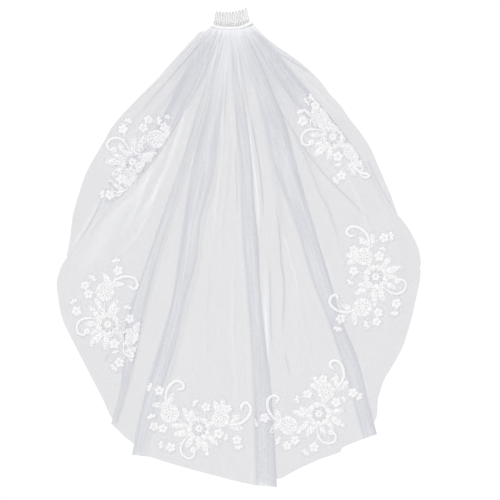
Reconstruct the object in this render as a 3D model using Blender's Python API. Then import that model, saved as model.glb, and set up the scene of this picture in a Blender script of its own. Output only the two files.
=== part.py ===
"""Bridal veil laid out flat as a fan, with its wire comb.

One panel of tulle is gathered into a satin binding and sewn to a wire comb. It lies on a surface
in seven overlapping panels, joined by six Z-folds, with six floral lace appliques on top.

Frame: metres, +Z up, the comb at +Y, the hem at -Y. The origin is the middle of the veil's
footprint, on the surface it lies on. The tables below are in millimetres.
"""

import math

import bmesh
import bpy
from mathutils import Vector
from mathutils.bvhtree import BVHTree
from mathutils.geometry import delaunay_2d_cdt

MM = 0.001

# ---- driving dimensions, mm ----
WALL = 1.0  # the tulle's wall
LAYER_STEP = 1.4  # from one folded layer to the next
BEND = LAYER_STEP / 2  # centre-line radius of a fold's bend
BEND_OUTSIDE = BEND + WALL / 2
BEND_CLOSED = 0.6  # length of cloth in each bend where the fold has closed
PIECE_GAP = 0.3  # between pieces that meet at a seam
FOLD_MARGIN = 1.3  # flat cloth kept beside a folded edge
LEAST_RETURN = 0.4  # the shortest straight between the two bends of a fold
LEAST_ROOM = 0.9  # from the middle of a closed fold to the flat cloth beside it
FALL = 12.0  # over which a panel comes down from the top of a fold
GATHER_HEIGHT = 1.2  # of a gather's ridge at the binding
GATHER_SLOPE = 0.7  # the steepest side of a gather
GATHER_REACH = 0.2  # share of the length over which the shortest gathers die out
GATHER_REACH_SPREAD = 0.2
ROW_COUNT = 18
ROW_CROWDING = 1.6  # crowds the rows towards the gathered edge
ROW_SPEED = 560.0  # how fast every line from the binding sets out, in mm for a whole length

RIBBON_WIDTH = 5.0
RIBBON_WALL = 1.0
SEAM_DEPTH = 3.2  # how far the gathered edge reaches into the binding
SEAM_LIFT = RIBBON_WALL + PIECE_GAP
SEAM_FALL_START, SEAM_FALL_END = 0.0, 0.06  # where the tulle comes down to the surface
RIBBON_HEIGHT = 2 * (RIBBON_WALL + PIECE_GAP) + WALL + GATHER_HEIGHT

COMB_INSET = 3.0  # from the binding's ends to the comb's ends
WINDING_WIDTH = 8.0
WINDING_HEIGHT = 3.0
WINDING_TURNS = 18
WINDING_RELIEF = 0.35
TOOTH_COUNT = 20
TOOTH_WIDTH = 1.4
TOOTH_THICKNESS = 1.2
SPINE_WIDTH = 1.4

LACE_WALL = 1.0
LACE_RELIEF = 0.8  # what the flowers' centres stand above the leaves
LACE_CLEARANCE = 0.3
LACE_REACH = 4.0  # the lace spans hollows in the cloth narrower than twice this
SMALLEST_HOLE = 4.0  # gaps in the lace below this width are closed
SAMPLE_STEP = 3.0  # between the places where the lace is held clear of the cloth
NEAR_POINTS = 1.5  # points of the lace's outline closer than this become one

# ---- the tulle's outline and folds ----
# The gathered edge, and the two side edges from the comb's ends to the widest turn, as x, y.
SEAM_EDGE = [(-55, 432), (-35, 428), (-16, 427), (6, 429), (27, 438)]
LEFT_EDGE = [
    (-55, 432), (-65, 425), (-76, 423), (-86, 413), (-115, 382), (-155, 337),
    (-194, 297), (-233, 256), (-252, 231), (-264, 209), (-286, 172), (-301, 143),
    (-317, 94),
]
RIGHT_EDGE = [
    (27, 438), (41, 423), (61, 405), (80, 391), (119, 364), (157, 329),
    (178, 301), (198, 280), (217, 252), (237, 227), (256, 198), (272, 162), (286, 129),
    (297, 104), (311, 65), (317, 58), (331, 39), (344, 16), (352, -4),
]
# One row for each fold, from the left: which folded edge lies on top, the share of the length
# where the fold starts and has opened, where it starts to close and has closed, and its two
# edges in rows from the binding to the hem: left x, left y, right x, right y.
FOLDS = [
    ("left", (0.0, 0.08), (0.74, 1.0), [
        (-47, 431, -43, 430), (-70, 411, -55, 403), (-84, 387, -63, 376),
        (-98, 360, -70, 348), (-119, 317, -92, 303), (-145, 264, -119, 252),
        (-174, 215, -149, 200), (-207, 168, -184, 153), (-247, 114, -229, 102),
        (-266, 86, -260, 80), (-303, 29, -299, 25), (-339, -12, -335, -16),
    ]),
    ("left", (0.12, 0.22), (2, 3), [
        (-37, 428, -34, 428), (-57, 348, -53, 348), (-74, 290, -68, 290),
        (-96, 221, -86, 219), (-115, 162, -104, 159), (-145, 78, -129, 78),
        (-174, -8, -155, -8), (-198, -78, -172, -72), (-219, -137, -188, -137),
        (-225, -209, -202, -209), (-233, -282, -221, -284), (-250, -344, -239, -341),
    ]),
    ("left", (0.0, 0.08), (2, 3), [
        (-29, 427, -27, 427), (-41, 368, -28, 368), (-58, 290, -32, 290),
        (-80, 211, -40, 211), (-96, 133, -51, 133), (-108, 55, -74, 55),
        (-119, -23, -82, -23), (-131, -102, -104, -102), (-153, -180, -121, -180),
        (-176, -258, -145, -258), (-196, -337, -172, -337), (-209, -405, -190, -399),
    ]),
    ("right", (0.08, 0.18), (2, 3), [
        (-19, 427, -16, 427), (-16, 368, -12, 368), (-10, 299, 6, 299),
        (-4, 231, 18, 231), (2, 172, 25, 172), (4, 94, 29, 94),
        (8, 16, 37, 16), (16, -72, 41, -72), (23, -160, 49, -160),
        (27, -258, 61, -258), (31, -356, 68, -356), (33, -452, 74, -468),
    ]),
    ("right", (0.0, 0.08), (2, 3), [
        (3, 428, 7, 429), (11, 368, 36, 371), (33, 299, 67, 303),
        (49, 241, 92, 241), (63, 172, 110, 172), (92, 94, 131, 94),
        (117, 25, 153, 20), (143, -63, 178, -63), (174, -141, 200, -141),
        (200, -219, 233, -219), (223, -297, 252, -297), (243, -372, 270, -364),
    ]),
    ("right", (0.0, 0.08), (0.58, 0.83), [
        (15, 433, 18, 434), (30, 412, 41, 417), (48, 386, 68, 392),
        (70, 343, 97, 352), (90, 308, 126, 319), (116, 274, 155, 285),
        (149, 241, 184, 250), (188, 207, 209, 217), (221, 182, 231, 188),
        (250, 149, 253, 153), (285, 88, 287, 90), (320, 24, 322, 26), (354, -36, 356, -34),
    ]),
]
# The hem of each panel, from one folded edge to the next, as x, y, and the cells across it,
# two to a gather.
PANELS = [
    (8, [(-317, 94), (-325, 65), (-331, 16), (-337, -14)]),
    (8, [(-339, -12), (-350, -39), (-356, -63), (-356, -82), (-346, -137), (-321, -190),
         (-301, -229), (-286, -258), (-266, -297), (-249, -333), (-239, -341)]),
    (4, [(-250, -344), (-237, -356), (-223, -370), (-207, -382), (-190, -399)]),
    (8, [(-209, -405), (-174, -409), (-155, -415), (-115, -427), (-76, -438),
         (-37, -448), (2, -458), (41, -466), (57, -470), (74, -468)]),
    (16, [(33, -452), (80, -458), (100, -438), (119, -427), (159, -413), (198, -399),
          (202, -391), (237, -376), (270, -364)]),
    (10, [(243, -372), (264, -341), (270, -327), (272, -297), (284, -258), (299, -233),
          (315, -205), (325, -180), (337, -141), (346, -102), (354, -63), (356, -35)]),
    (8, [(356, -35), (355, -20), (352, -4)]),
]

# The line of the teeth's tips, as x, y.
TOOTH_TIPS = [(-47, 462), (-32, 461), (-16, 461), (0, 464), (15, 469)]

# ---- the lace motif, in its own frame with its great flower at the origin ----
# Flowers: x, y, radius, petals.
FLOWERS = [
    (0, 0, 25, 8), (-58, 27, 18, 6), (41, 20, 17, 6),
    (-95, 78, 8, 5), (-79, 73, 8, 5), (-91, 22, 8, 5), (-84, 4, 8, 5), (-70, 0, 8, 5),
    (-3, 46, 8, 5), (13, 40, 8, 5), (41, -11, 8, 5), (-56, -38, 8, 5), (-72, -31, 7, 5),
    (76, -23, 9, 5),
]
# Leaves: x and y at the base, x and y at the tip, width.
LEAVES = [
    (-61, 50, -90, 47, 9), (-63, 52, -48, 73, 8), (-18, 3, -56, 5, 9), (-16, -5, -51, -11, 9),
    (-14, 8, -30, 43, 9), (-14, 12, -16, 34, 7), (7, -18, 15, -51, 10), (15, -14, 35, -32, 8),
    (64, 6, 77, 27, 8), (41, 30, 47, 56, 7), (40, 30, 32, 52, 7), (57, 8, 85, 0, 8),
    (-18, -12, -23, -35, 7),
]
# Scrolls: the centre line, and the radius of the ball that each ends in.
SCROLLS = [
    (5, [(-60, 40), (-64, 60), (-58, 80), (-45, 92), (-33, 90), (-31, 81), (-39, 78)]),
    (5, [(50, 10), (66, 5), (84, 8), (98, 20), (102, 36), (93, 47), (84, 40)]),
    (7, [(-16, -10), (-30, -24), (-38, -40), (-33, -54), (-21, -58), (-12, -50), (-12, -42)]),
]
SCROLL_WIDTH = 4.6
SCROLL_STEPS = 8
# Stems that carry the small flowers, as x, y at each end.
STEMS = [
    (-60, 38, -64, 60), (-63, 54, -79, 73), (-79, 73, -95, 78), (-64, 18, -70, 0),
    (-91, 22, -84, 4), (-84, 4, -70, 0), (-20, 6, -46, 18),
    (5, 18, 13, 40), (13, 40, -3, 46), (16, 8, 30, 15), (41, 8, 41, -8),
    (70, 4, 76, -20), (-34, -30, -56, -38), (-56, -38, -72, -31),
]
STEM_WIDTH = 2.8

# Where the motif is sewn on: node, x and y of the great flower, turn in degrees, and how much
# narrower it lies where the cloth is folded under it, across its length.
APPLIQUES = [
    ("lace_upper_left", -211, 183, 236, 0.5),
    ("lace_middle_left", -262, -150, -57, 0.78),
    ("lace_bottom_left", -78, -354, 0, 1.0),
    ("lace_bottom_right", 157, -325, 48, 1.0),
    ("lace_middle_right", 268, -57, 94, 1.0),
    ("lace_upper_right", 186, 232, 132, 0.52),
]

# ---- colours and finishes: red, green, blue, roughness, metallic ----
MATERIALS = {
    "tulle": (0.80, 0.80, 0.84, 0.9, 0.0),
    "satin": (0.93, 0.93, 0.94, 0.4, 0.0),
    "lace": (0.95, 0.95, 0.96, 0.8, 0.0),
    "wire": (0.72, 0.72, 0.74, 0.25, 1.0),
}


# ---- curves and small functions ----
def smoothstep(start, end, value):
    share = min(max((value - start) / (end - start), 0.0), 1.0)
    return share * share * (3 - 2 * share)


def ramp(start, end, value):
    return min(max((value - start) / (end - start), 0.0), 1.0)


def mix(a, b, share):
    return a + (b - a) * share


class Curve:
    """A smooth curve through rows of numbers, read by the share of its length."""

    def __init__(self, rows, place=lambda row: row[:2]):
        self.rows = rows
        places = [place(row) for row in rows]
        self.at = [0.0]
        for before, after in zip(places, places[1:]):
            self.at.append(self.at[-1] + math.dist(before, after))

    def slope(self, index, column):
        low, high = max(index - 1, 0), min(index + 1, len(self.rows) - 1)
        rise = self.rows[high][column] - self.rows[low][column]
        return rise / (self.at[high] - self.at[low])

    def point(self, share):
        where = min(max(share, 0.0), 1.0) * self.at[-1]
        index = 0
        while index < len(self.rows) - 2 and self.at[index + 1] < where:
            index += 1
        span = self.at[index + 1] - self.at[index]
        s = (where - self.at[index]) / span
        values = []
        for column in range(len(self.rows[0])):
            start, end = self.rows[index][column], self.rows[index + 1][column]
            out, back = self.slope(index, column) * span, self.slope(index + 1, column) * span
            values.append(
                (2 * s**3 - 3 * s**2 + 1) * start + (s**3 - 2 * s**2 + s) * out
                + (3 * s**2 - 2 * s**3) * end + (s**3 - s**2) * back
            )
        return values

    def nearest(self, x, y):
        """The share of the length at which the curve passes closest to x, y."""
        best, spread = 0.5, 0.5
        for _ in range(6):
            shares = [min(max(best + spread * step / 10, 0.0), 1.0) for step in range(-10, 11)]
            best = min(shares, key=lambda share: math.dist(self.point(share)[:2], (x, y)))
            spread /= 8
        return best


def xy(curve, share):
    return Vector(curve.point(share)[:2])


def at_row(curve, t):
    """The share of a curve's length where the row of cloth at t crosses it."""
    length = curve.at[-1]
    return (ROW_SPEED * t + (length - ROW_SPEED) * t**2) / length


def add_object(name, material_name, points, faces, smooth_angle=30):
    """A closed mesh object from points in millimetres."""
    mesh = bpy.data.meshes.new(name)
    mesh.from_pydata([Vector(point) * MM for point in points], [], faces)
    work = bmesh.new()
    work.from_mesh(mesh)
    bmesh.ops.triangulate(work, faces=work.faces)
    bmesh.ops.recalc_face_normals(work, faces=work.faces)
    work.to_mesh(mesh)
    work.free()
    mesh.shade_smooth()
    mesh.set_sharp_from_angle(angle=math.radians(smooth_angle))
    mesh.materials.append(material(material_name))
    veil_object = bpy.data.objects.new(name, mesh)
    bpy.context.scene.collection.objects.link(veil_object)
    return veil_object


def material(name):
    if name in bpy.data.materials:
        return bpy.data.materials[name]
    red, green, blue, roughness, metallic = MATERIALS[name]
    made = bpy.data.materials.new(name)
    made.use_nodes = True
    shader = made.node_tree.nodes["Principled BSDF"]
    shader.inputs["Base Color"].default_value = (red, green, blue, 1)
    shader.inputs["Roughness"].default_value = roughness
    shader.inputs["Metallic"].default_value = metallic
    return made


# ---- the tulle ----
class Fold:
    """A Z-fold: the cloth runs to one edge, turns back to the other and runs on."""

    def __init__(self, top_edge, opening, closing, rows):
        self.top_is_left = top_edge == "left"
        self.opening = opening
        self.closing = closing
        self.curve = Curve(rows, lambda row: ((row[0] + row[2]) / 2, (row[1] + row[3]) / 2))

    def open_share(self, t):
        return ramp(*self.opening, t) * (1 - ramp(*self.closing, t))

    def bend(self, t, heading):
        """How far a bend reaches across and up by the time it has turned to a heading."""
        share = self.open_share(t)
        radius = mix(BEND_CLOSED, math.pi * BEND, share) / max(math.pi * share, 0.001)
        return radius * math.sin(heading), radius * (1 - math.cos(heading))

    def straight(self, t):
        """The length of cloth between the fold's two bends."""
        width = self.frame(t)[2]
        return max((width - 2 * BEND_OUTSIDE) * smoothstep(0.9, 1, self.open_share(t)), LEAST_RETURN)

    def frame(self, t):
        """The fold's middle, the direction across it and its width, at a share of its length."""
        share = at_row(self.curve, t)
        left_x, left_y, right_x, right_y = self.curve.point(share)
        left, right = Vector((left_x, left_y)), Vector((right_x, right_y))
        ahead = self.curve.point(share + 0.01)
        behind = self.curve.point(share - 0.01)
        along = Vector((ahead[0] - behind[0], ahead[1] - behind[1])).normalized()
        square = Vector((-along.y, along.x))
        across = ((right - left) + square * 2).normalized()
        return (left + right) / 2, across, (right - left).length

    def section(self, t):
        """The six points where the cloth bends, each with the way its face side points."""
        middle, across, _ = self.frame(t)
        turn = max(math.pi * self.open_share(t), 0.001)
        straight = self.straight(t)
        sign = 1 if self.top_is_left else -1
        run, rise = self.bend(t, turn)
        x = -run - straight * math.cos(turn) / 2
        z = WALL / 2 + (0 if self.top_is_left else self.height(t))
        bends = [(x, z, 0.0)]
        for step in (0.5, 1.0):
            out, up = self.bend(t, turn * step)
            bends.append((x + out, z + sign * up, sign * turn * step))
        x, z, heading = bends[-1]
        x += straight * math.cos(heading)
        z += straight * math.sin(heading)
        bends.append((x, z, heading))
        for step in (0.5, 0.0):
            out, up = self.bend(t, turn * step)
            bends.append((x + run - out, z + sign * (rise - up), sign * turn * step))
        points = []
        for x, z, heading in bends:
            place = middle + across * x
            normal = across * -math.sin(heading)
            points.append((
                Vector((place.x, place.y, z)),
                Vector((normal.x, normal.y, math.cos(heading))),
            ))
        return points

    def beside(self, t, side):
        """A point on the flat cloth just clear of the fold, with side 1 its right."""
        middle, across, width = self.frame(t)
        share = self.open_share(t)
        return middle + across * side * (LEAST_ROOM + share * (width / 2 + FOLD_MARGIN))

    def height(self, t):
        """How much higher the cloth lies on the fold's upper side."""
        turn = max(math.pi * self.open_share(t), 0.001)
        return 2 * self.bend(t, turn)[1] + self.straight(t) * math.sin(turn)


FOLD_LIST = [Fold(*row) for row in FOLDS]


class Panel:
    """The flat cloth from one fold to the next, or from or to a side edge."""

    def __init__(self, number, cells, hem):
        self.number = number
        self.cells = cells
        self.hem = Curve(hem)
        self.before = FOLD_LIST[number - 1] if number else None
        self.after = FOLD_LIST[number] if number < len(FOLD_LIST) else None
        self.on_top_before = bool(self.before) and self.before.top_is_left
        self.on_top_after = bool(self.after) and not self.after.top_is_left
        low, high = self.edge(1, 1.0), self.edge(-1, 1.0)
        self.hem_start = self.hem.nearest(low.x, low.y) if self.before else 0.0
        self.hem_end = self.hem.nearest(high.x, high.y) if self.after else 1.0

    def edge(self, side, t):
        """Where the open part of the panel starts, with side 1, or ends, with side -1."""
        if side == 1:
            return self.before.beside(t, 1) if self.before else xy(LEFT_CURVE, at_row(LEFT_CURVE, t))
        return self.after.beside(t, -1) if self.after else xy(RIGHT_CURVE, at_row(RIGHT_CURVE, t))

    def bow(self, share):
        """How far the hem curves out from the straight between its two ends."""
        start, end = xy(self.hem, self.hem_start), xy(self.hem, self.hem_end)
        return xy(self.hem, mix(self.hem_start, self.hem_end, share)) - start.lerp(end, share)

    def point(self, share, t):
        low, high = self.edge(1, t), self.edge(-1, t)
        return low.lerp(high, share) + self.bow(share) * t**2

    def rise(self, share, t):
        """The height of the cloth's underside, where it comes down from the folds."""
        low, high = self.edge(1, t), self.edge(-1, t)
        width = (high - low).length
        fall = min(FALL, 0.8 * width)
        height = 0.0
        if self.on_top_before:
            height += self.before.height(t) * (1 - smoothstep(0, fall, share * width))
        if self.on_top_after:
            height += self.after.height(t) * (1 - smoothstep(0, fall, (1 - share) * width))
        return height

    def columns(self, t):
        """The points across the panel at a share of its length, each with its gather."""
        made = []
        width = (self.edge(-1, t) - self.edge(1, t)).length
        limit = GATHER_SLOPE * width / self.cells
        if self.before:
            start = self.before.section(t)[-1][0].xy
            if self.on_top_before:
                made.append((start.lerp(self.point(0, t), 0.5), self.before.height(t), 0.0))
            made.append((self.point(0, t), self.rise(0, t), 0.0))
        else:
            made.append((self.point(0, t), 0.0, 0.0))
        for cell in range(1, self.cells):
            share = cell / self.cells
            reach = GATHER_REACH + GATHER_REACH_SPREAD * abs(math.sin(1.7 * cell + self.number))
            gather = GATHER_HEIGHT * (1 - smoothstep(0, reach, t)) if cell % 2 else 0.0
            made.append((self.point(share, t), self.rise(share, t), min(gather, limit)))
        if self.after:
            end = self.after.section(t)[0][0].xy
            made.append((self.point(1, t), self.rise(1, t), 0.0))
            if self.on_top_after:
                made.append((self.point(1, t).lerp(end, 0.5), self.after.height(t), 0.0))
        else:
            made.append((self.point(1, t), 0.0, 0.0))
        return made


LEFT_CURVE = Curve(LEFT_EDGE)
RIGHT_CURVE = Curve(RIGHT_EDGE)
SEAM_CURVE = Curve(SEAM_EDGE)
PANEL_LIST = [Panel(number, *row) for number, row in enumerate(PANELS)]


def tulle_row(t, inward=0.0):
    """The face and back points across the whole veil at a share of its length."""
    lift = SEAM_LIFT * (1 - smoothstep(SEAM_FALL_START, SEAM_FALL_END, t))
    faces, backs = [], []
    for panel in PANEL_LIST:
        for place, rise, gather in panel.columns(t):
            bottom = Vector((place.x, place.y, rise + lift))
            faces.append(bottom + Vector((0, 0, WALL + gather)))
            backs.append(bottom)
        if panel.after:
            for place, normal in panel.after.section(t):
                raised = place + Vector((0, 0, lift))
                faces.append(raised + normal * WALL / 2)
                backs.append(raised - normal * WALL / 2)
    if t == 0:
        faces = [to_seam(point, inward) for point in faces]
        backs = [to_seam(point, inward) for point in backs]
    return faces, backs


def to_seam(point, inward):
    """Moves a point of the gathered edge onto the seam's own line, or into the binding."""
    place, square = seam_frame(SEAM_CURVE.nearest(point.x, point.y))
    return Vector((place.x + square.x * inward, place.y + square.y * inward, point.z))


def make_tulle():
    shares = [(row / (ROW_COUNT - 1)) ** ROW_CROWDING for row in range(ROW_COUNT)]
    rows = [tulle_row(0.0, SEAM_DEPTH)] + [tulle_row(share) for share in shares]
    width = len(rows[0][0])
    points = [point for faces, _ in rows for point in faces]
    back_start = len(points)
    points += [point for _, backs in rows for point in backs]
    faces = []
    for row in range(len(rows) - 1):
        for column in range(width - 1):
            a = row * width + column
            faces.append((a, a + width, a + width + 1, a + 1))
            b = a + back_start
            faces.append((b, b + 1, b + width + 1, b + width))
        for column in (0, width - 1):
            a = row * width + column
            edge = (a, a + back_start, a + width + back_start, a + width)
            faces.append(edge if column == 0 else edge[::-1])
    for row in (0, len(rows) - 1):
        for column in range(width - 1):
            a = row * width + column
            edge = (a, a + 1, a + 1 + back_start, a + back_start)
            faces.append(edge if row == 0 else edge[::-1])
    return add_object("tulle_panel", "tulle", points, faces)


# ---- the binding and the comb ----
def seam_frame(share):
    """A point on the tulle's gathered edge and the direction square to it, to the comb."""
    place = xy(SEAM_CURVE, share)
    along = (xy(SEAM_CURVE, share + 0.02) - xy(SEAM_CURVE, share - 0.02)).normalized()
    return place, Vector((-along.y, along.x))


def sweep(stations, section_at):
    """Rings of points along the seam, with flat ends left to the caller."""
    rings = []
    for index in range(stations + 1):
        share = index / stations
        place, square = seam_frame(share)
        rings.append([
            (place.x + square.x * out, place.y + square.y * out, z)
            for out, z in section_at(index, share)
        ])
    size = len(rings[0])
    points = [point for ring in rings for point in ring]
    faces = []
    for ring in range(stations):
        for corner in range(size):
            a, b = ring * size + corner, ring * size + (corner + 1) % size
            faces.append((a, b, b + size, a + size))
    return points, faces, size


def make_binding():
    """A ribbon folded over the gathered edge, open towards the tulle."""
    inside = SEAM_DEPTH + PIECE_GAP
    top = RIBBON_HEIGHT
    section = [
        (0, 0), (inside, 0), (RIBBON_WIDTH, 0), (RIBBON_WIDTH, top), (inside, top), (0, top),
        (0, top - RIBBON_WALL), (inside, top - RIBBON_WALL), (inside, RIBBON_WALL),
        (0, RIBBON_WALL),
    ]
    points, faces, size = sweep(14, lambda index, share: section)
    last = len(points) - size
    for quad in ((0, 1, 8, 9), (1, 2, 3, 4, 7, 8), (4, 5, 6, 7)):
        faces.append(quad[::-1])
        faces.append(tuple(last + corner for corner in quad))
    return add_object("ribbon_binding", "satin", points, faces)


def comb_share(share):
    """A share of the comb's length as a share of the binding's."""
    length = SEAM_CURVE.at[-1]
    return (COMB_INSET + share * (length - 2 * COMB_INSET)) / length


def make_winding():
    """Wire wound round the comb's spine, in ridges."""
    middle = RIBBON_WIDTH + PIECE_GAP + WINDING_RELIEF + WINDING_WIDTH / 2
    rings = []
    for index in range(2 * WINDING_TURNS + 1):
        place, square = seam_frame(comb_share(index / (2 * WINDING_TURNS)))
        grow = WINDING_RELIEF if index % 2 else 0.0
        half = WINDING_WIDTH / 2 + grow
        high = WINDING_HEIGHT + grow
        section = [
            (-half, 0.9), (-half + 1.4, 0), (half - 1.4, 0), (half, 0.9),
            (half, high - 0.9), (half - 1.4, high), (-half + 1.4, high), (-half, high - 0.9),
        ]
        rings.append([
            (place.x + square.x * (middle + out), place.y + square.y * (middle + out), z)
            for out, z in section
        ])
    size = len(rings[0])
    points = [point for ring in rings for point in ring]
    faces = [tuple(range(size))[::-1], tuple(range(len(points) - size, len(points)))]
    for ring in range(len(rings) - 1):
        for corner in range(size):
            a, b = ring * size + corner, ring * size + (corner + 1) % size
            faces.append((a, b, b + size, a + size))
    return add_object("comb_winding", "wire", points, faces)


def make_teeth():
    """The comb's wire teeth, joined along their roots by a thin spine."""
    root = RIBBON_WIDTH + 2 * (PIECE_GAP + WINDING_RELIEF) + WINDING_WIDTH
    bottom = (WINDING_HEIGHT - TOOTH_THICKNESS) / 2
    tips = Curve(TOOTH_TIPS)
    places, quads = [], []
    for tooth in range(TOOTH_COUNT):
        share = (tooth + 0.5) / TOOTH_COUNT
        place, square = seam_frame(comb_share(share))
        half = Vector((square.y, -square.x)) * TOOTH_WIDTH / 2
        foot, base, tip = place + square * root, place + square * (root + SPINE_WIDTH), xy(tips, share)
        first = len(places)
        places += [foot - half, foot + half, base - half, base + half, tip - half, tip + half]
        quads += [(first, first + 1, first + 3, first + 2), (first + 2, first + 3, first + 5, first + 4)]
        if tooth:
            quads.append((first - 5, first, first + 2, first - 3))
    points, faces = plate(places, quads, [bottom] * len(places),
                          [bottom + TOOTH_THICKNESS] * len(places))
    return add_object("comb_teeth", "wire", points, faces)


def plate(places, faces, bottoms, tops):
    """The points and faces of a closed plate over flat faces, with a wall round its edge."""
    count = len(places)
    points = [(place.x, place.y, z) for place, z in zip(places, tops)]
    points += [(place.x, place.y, z) for place, z in zip(places, bottoms)]
    made = list(faces) + [tuple(count + corner for corner in face[::-1]) for face in faces]
    edges = {(a, b) for face in faces for a, b in zip(face, face[1:] + face[:1])}
    made += [(b, a, a + count, b + count) for a, b in sorted(edges) if (b, a) not in edges]
    return points, made


# ---- the lace ----
def flower_outline(x, y, radius, petals):
    """A round of lobes, with fewer points to a petal on the small ones."""
    per_petal = 3 if radius > 20 else 2
    depth = 0.2 if radius > 10 else 0.42
    count = petals * per_petal
    points = []
    for index in range(count):
        angle = math.tau * index / count
        lobe = abs(math.sin(petals * angle / 2))
        reach = radius * (1 - depth * (1 - lobe) ** 1.3)
        points.append((x + reach * math.cos(angle), y + reach * math.sin(angle)))
    return points


def leaf_outline(base_x, base_y, tip_x, tip_y, width):
    base, tip = Vector((base_x, base_y)), Vector((tip_x, tip_y))
    along = (tip - base).normalized()
    side = Vector((-along.y, along.x)) * width / 2
    middle = base.lerp(tip, 0.5)
    return [tuple(point) for point in (base, middle - side, tip, middle + side)]


def strip_outline(line, width):
    """A strip of even width along a line of points."""
    left, right = [], []
    for index, place in enumerate(line):
        before, after = line[max(index - 1, 0)], line[min(index + 1, len(line) - 1)]
        along = (after - before).normalized()
        side = Vector((-along.y, along.x)) * width / 2
        left.append(tuple(place + side))
        right.append(tuple(place - side))
    return right + left[::-1]


def motif_outlines():
    """Every petal round, leaf, scroll and stem of the motif, as outlines that overlap."""
    outlines = [flower_outline(*row) for row in FLOWERS]
    outlines += [leaf_outline(*row) for row in LEAVES]
    for ball, rows in SCROLLS:
        curve = Curve(rows)
        line = [xy(curve, step / SCROLL_STEPS) for step in range(SCROLL_STEPS + 1)]
        outlines.append(strip_outline(line, SCROLL_WIDTH))
        outlines.append([
            (line[-1].x + ball * math.cos(math.tau * side / 6),
             line[-1].y + ball * math.sin(math.tau * side / 6)) for side in range(6)
        ])
    for start_x, start_y, end_x, end_y in STEMS:
        line = [Vector((start_x, start_y)), Vector((end_x, end_y))]
        outlines.append(strip_outline(line, STEM_WIDTH))
    return outlines


def relief_at(x, y):
    """How far the lace stands up at a place in the motif: most in its flowers' hearts."""
    best = 0.0
    for flower_x, flower_y, radius, _ in FLOWERS:
        away = math.dist((x, y), (flower_x, flower_y)) / radius
        best = max(best, LACE_RELIEF * (1 - smoothstep(0.1, 0.95, away)))
    return best


def region_mesh(outlines, hearts):
    """The triangles that the outlines cover together, with the smallest holes closed."""
    points, faces = [], []
    for outline in outlines:
        start = len(points)
        points += [Vector(point) for point in outline]
        faces.append(list(range(start, len(points))))
    points += [Vector(heart) for heart in hearts]
    places, _, triangles, _, _, sources = delaunay_2d_cdt(points, [], faces, 0, NEAR_POINTS)
    inside = {index for index, source in enumerate(sources) if source}
    neighbours = triangle_neighbours(triangles)
    for group in groups([i for i in range(len(triangles)) if i not in inside], neighbours):
        spread = [places[corner] for index in group for corner in triangles[index]]
        wide = max(point.x for point in spread) - min(point.x for point in spread)
        tall = max(point.y for point in spread) - min(point.y for point in spread)
        if min(wide, tall) < SMALLEST_HOLE:
            inside.update(group)
    largest = max(groups(sorted(inside), neighbours), key=len)
    used = sorted({corner for index in largest for corner in triangles[index]})
    number = {corner: new for new, corner in enumerate(used)}
    kept = [tuple(number[corner] for corner in triangles[index]) for index in largest]
    return [places[corner] for corner in used], kept


def triangle_neighbours(triangles):
    """For each triangle, the ones it shares an edge with."""
    by_edge = {}
    for index, corners in enumerate(triangles):
        for a, b in zip(corners, corners[1:] + corners[:1]):
            by_edge.setdefault(frozenset((a, b)), []).append(index)
    neighbours = {index: [] for index in range(len(triangles))}
    for pair in by_edge.values():
        if len(pair) == 2:
            neighbours[pair[0]].append(pair[1])
            neighbours[pair[1]].append(pair[0])
    return neighbours


def groups(members, neighbours):
    """The members in sets that hang together by their edges."""
    left = set(members)
    found = []
    for start in members:
        if start not in left:
            continue
        group, queue = [], [start]
        left.discard(start)
        while queue:
            index = queue.pop()
            group.append(index)
            for other in neighbours[index]:
                if other in left:
                    left.discard(other)
                    queue.append(other)
        found.append(group)
    return found


MOTIF = region_mesh(motif_outlines(), [row[:2] for row in FLOWERS[:3]])


def cloth_top(tree, x, y, reach, rings=2):
    """The cloth's highest point near x, y."""
    best = 0.0
    for ring in range(rings + 1):
        for side in range(8 if ring else 1):
            angle = math.tau * side / 8
            out = reach * ring / rings
            start = Vector((x + out * math.cos(angle), y + out * math.sin(angle), 50))
            hit = tree.ray_cast(start * MM, Vector((0, 0, -1)))[0]
            if hit:
                best = max(best, hit.z / MM)
    return best


def make_lace(name, x, y, turn, narrowing, tree):
    angle = math.radians(turn)
    along = Vector((math.cos(angle), math.sin(angle)))
    across = Vector((-math.sin(angle), math.cos(angle))) * narrowing
    motif_places, triangles = MOTIF
    places = [Vector((x, y)) + along * place.x + across * place.y for place in motif_places]
    bottoms = [cloth_top(tree, place.x, place.y, LACE_REACH) + LACE_CLEARANCE for place in places]
    lift_clear(tree, places, triangles, bottoms)
    tops = [
        bottom + LACE_WALL + relief_at(place.x, place.y)
        for place, bottom in zip(motif_places, bottoms)
    ]
    points, faces = plate(places, triangles, bottoms, tops)
    return add_object(name, "lace", points, faces)


def lift_clear(tree, places, triangles, bottoms):
    """Raises the lace's underside wherever a triangle would dip into the cloth."""
    for corners in triangles:
        a, b, c = (places[corner] for corner in corners)
        steps = 1 + int(max((a - b).length, (b - c).length, (c - a).length) / SAMPLE_STEP)
        for i in range(steps + 1):
            for j in range(steps + 1 - i):
                weights = (i / steps, j / steps, (steps - i - j) / steps)
                spot = a * weights[0] + b * weights[1] + c * weights[2]
                z = sum(bottoms[corner] * w for corner, w in zip(corners, weights))
                short = cloth_top(tree, spot.x, spot.y, SAMPLE_STEP / 2, 1) + LACE_CLEARANCE - z
                if short > 0:
                    for corner in corners:
                        bottoms[corner] += short


def centre(pieces):
    """Moves the pieces together, so that the origin is the middle of their footprint."""
    corners = [vertex.co for piece in pieces for vertex in piece.data.vertices]
    shift = Vector((0, 0, 0))
    for axis in (0, 1):
        values = [corner[axis] for corner in corners]
        shift[axis] = -(min(values) + max(values)) / 2
    for piece in pieces:
        for vertex in piece.data.vertices:
            vertex.co += shift


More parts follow.
